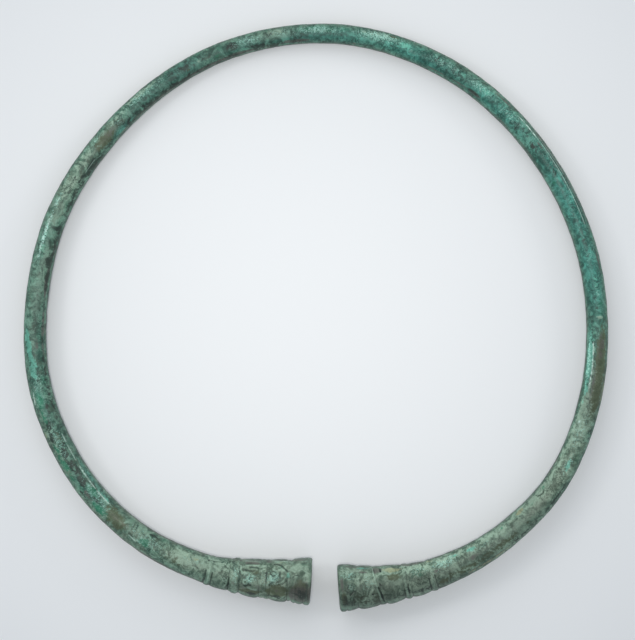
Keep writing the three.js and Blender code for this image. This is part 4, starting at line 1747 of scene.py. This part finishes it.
    def _lines(self, bench: Bench, lines: tuple[Streak, ...], crumble: Signal) -> Signal:
        """Draw thin lines along the bar, broken here and there.

        Args:
            bench: The material's bench.
            lines: The lines to draw.
            crumble: Noise that breaks them.

        Returns:
            The mask of all the lines.
        """
        along, across = self._mask(bench, "along"), self._mask(bench, "across")
        inner, outer = self.line_edge
        total: Signal | float = 0.0
        for line in lines:
            gap = across - ((along - line.start) * line.slope + line.across)
            gap = gap + crumble * line.wobble if line.wobble else gap
            near = 1 - gap.most(gap * -1.0).rise(inner * line.half_width, outer * line.half_width)
            begun = along.rise(line.start - self.line_start_fade, line.start + self.line_start_fade)
            ended = along.rise(line.stop - self.line_stop_fade, line.stop + self.line_stop_fade)
            total = near * (begun * (1 - ended)) * line.strength + total
        level, uneven = self.line_break
        return total * (crumble * uneven + level).least(1.0).most(0.0)


# ------------------------------------------------------------------------------------- the torc


@dataclass
class Torc:
    """The whole neck ring as one casting."""

    neck_line: NeckLine
    corrosion: Corrosion = field(default_factory=Corrosion)
    finish: Patina = field(default_factory=Patina)

    @property
    def lean(self) -> float:
        """How far the ring tips to rest on its thick terminals and its thin back, in radians."""
        lip, back = LEFT_TERMINAL.mouldings[0].crown, Bar().back_radius
        return math.atan((lip - back) / (2 * self.neck_line.stations[0][1]))

    def build(self) -> bpy.types.Object:
        """Make, bend and dress the ring.

        Returns:
            The finished piece, riding on the part's body.
        """
        rod = bpy.data.objects.new("rod", Rod(self.neck_line.length()).mesh())
        bpy.context.scene.collection.objects.link(rod)
        curve = self.neck_line.curve()
        ring = BendingTree(self.corrosion).apply(rod, curve, self.finish.material())
        for spare in (rod, curve):
            bpy.data.objects.remove(spare)
        self._set_down(ring)
        piece = bpy.data.objects.new("torc_casting", ring)
        bpy.context.scene.collection.objects.link(piece)
        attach(piece, BODY)
        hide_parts(NODE)
        return piece

    def _set_down(self, ring: bpy.types.Mesh) -> None:
        """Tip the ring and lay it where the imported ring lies.

        Args:
            ring: The ring's mesh, in its own plane.
        """
        ring.transform(Matrix.Rotation(-self.lean, 4, "X"))
        places = np.empty(len(ring.vertices) * 3, np.float32)
        ring.vertices.foreach_get("co", places)
        places = places.reshape(-1, 3)
        low, high = places.min(0), places.max(0)
        cad_low, cad_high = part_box(NODE)
        shift = (cad_low + cad_high) / 2 - Vector((low + high) / 2)
        shift.z = cad_low.z - float(low[2])
        ring.transform(Matrix.Translation(shift))


# ------------------------------------------------------------------------------------ the studio


@dataclass(frozen=True)
class Softbox:
    """A square area light that looks at the ring.

    Attributes:
        name: What it is.
        bearing: Direction from the ring in degrees, from the right and turning left.
        elevation: Height over the floor in degrees.
        distance: Distance in metres.
        size: Side in metres.
        watts: Power.
    """

    name: str
    bearing: float
    elevation: float
    distance: float
    size: float
    watts: float

    def place(self, target: Vector) -> bpy.types.Object:
        """Hang the light and aim it.

        Args:
            target: Point that it looks at.

        Returns:
            The light.
        """
        data = bpy.data.lights.new(self.name, "AREA")
        data.shape = "SQUARE"
        data.size = self.size
        data.energy = self.watts
        made = bpy.data.objects.new(self.name, data)
        bearing, height = math.radians(self.bearing), math.radians(self.elevation)
        away = Vector((math.cos(bearing) * math.cos(height), math.sin(bearing) * math.cos(height),
                       math.sin(height)))
        made.location = target + away * self.distance
        made.rotation_euler = (-away).to_track_quat("-Z", "Y").to_euler()
        bpy.context.scene.collection.objects.link(made)
        return made


@dataclass(frozen=True)
class SpotLamp:
    """A round soft lamp whose pool of light fades towards its rim.

    Attributes:
        name: What it is.
        location: Where it hangs, in metres.
        radius: Radius of the bulb, which softens the shadows.
        spread: Full angle of the beam in degrees.
        watts: Power.
        tint: Colour of the light.
    """

    name: str
    location: tuple[float, float, float]
    radius: float
    spread: float
    watts: float
    tint: tuple[float, float, float] = (1.0, 0.975, 0.93)

    def place(self, target: Vector) -> bpy.types.Object:
        """Hang the lamp and aim it.

        Args:
            target: Point that it looks at.

        Returns:
            The lamp.
        """
        data = bpy.data.lights.new(self.name, "SPOT")
        data.energy = self.watts
        data.shadow_soft_size = self.radius
        data.spot_size = math.radians(self.spread)
        data.spot_blend = 1.0
        data.color = self.tint
        made = bpy.data.objects.new(self.name, data)
        made.location = self.location
        made.rotation_euler = (target - made.location).to_track_quat("-Z", "Y").to_euler()
        bpy.context.scene.collection.objects.link(made)
        return made


@dataclass
class Studio:
    """A pale floor, soft lights and a camera that looks straight down."""

    floor_size: float = 3.0
    camera_height: float = 1.2
    view_width: float = 0.1594
    view_depth: float = 10.0
    aim: tuple[float, float] = (0.0004, -0.0007)
    paper: Colour = colour(236, 237, 237)
    world_light: float = 0.525
    world_tint: Colour = (0.865, 0.94, 1.03, 1.0)
    lights: tuple[Softbox, ...] = (
        Softbox("left softbox", 167, 45, 0.50, 0.12, 0.22),
        Softbox("right softbox", 33, 25, 0.50, 0.12, 0.20),
        Softbox("top bank", 112, 43, 0.90, 0.75, 1.66),
    )
    lamp: SpotLamp = SpotLamp("overhead lamp", (-0.03, -0.02, 1.60), 0.10, 10.8, 44.0)
    lamp_aim: tuple[float, float, float] = (-0.004, 0.006, 0.0)

    def build(self) -> None:
        """Set up the floor, the lights, the camera and the view."""
        self._floor()
        for light in self.lights:
            light.place(Vector((0, 0, 0)))
        self.lamp.place(Vector(self.lamp_aim))
        self._world()
        self._camera()
        bpy.context.scene.view_settings.view_transform = "Standard"

    def _floor(self) -> None:
        """Lay the floor that the ring lies on."""
        half = self.floor_size / 2
        data = bpy.data.meshes.new("floor")
        corners = [(-half, -half, 0), (half, -half, 0), (half, half, 0), (-half, half, 0)]
        data.from_pydata(corners, [], [(0, 1, 2, 3)])
        made = bpy.data.objects.new("floor", data)
        bpy.context.scene.collection.objects.link(made)
        paper = bpy.data.materials.new("pale paper")
        paper.use_nodes = True
        paper.node_tree.nodes.clear()
        bench = Bench(paper.node_tree)
        surface = bench.out("ShaderNodeBsdfDiffuse", None, {"Color": self.paper})
        bench.node("ShaderNodeOutputMaterial", None, {"Surface": surface})
        data.materials.append(paper)

    def _world(self) -> None:
        """Fill the room with even light."""
        world = bpy.data.worlds.new("room")
        world.use_nodes = True
        world.node_tree.nodes.clear()
        bench = Bench(world.node_tree)
        light = bench.out("ShaderNodeBackground", None,
                          {"Color": self.world_tint, "Strength": self.world_light})
        bench.node("ShaderNodeOutputWorld", None, {"Surface": light})
        bpy.context.scene.world = world

    def _camera(self) -> None:
        """Hang a long lens straight over the ring, with the gap at the bottom of the view."""
        data = bpy.data.cameras.new("camera")
        data.sensor_fit = "HORIZONTAL"
        data.lens = data.sensor_width * self.camera_height / self.view_width
        data.clip_end = self.view_depth
        made = bpy.data.objects.new("camera", data)
        made.location = (self.aim[0], self.aim[1], self.camera_height)
        bpy.context.scene.collection.objects.link(made)
        bpy.context.scene.camera = made


NECK = NeckLine()


def main() -> None:
    """Build the studio and the torc, and log the number of its faces."""
    logging.basicConfig(level=logging.INFO, format="%(name)s: %(message)s")
    Studio().build()
    piece = Torc(NECK).build()
    log.info("%s: %d faces", piece.name, len(piece.data.polygons))


if __name__ == "__main__":
    main()
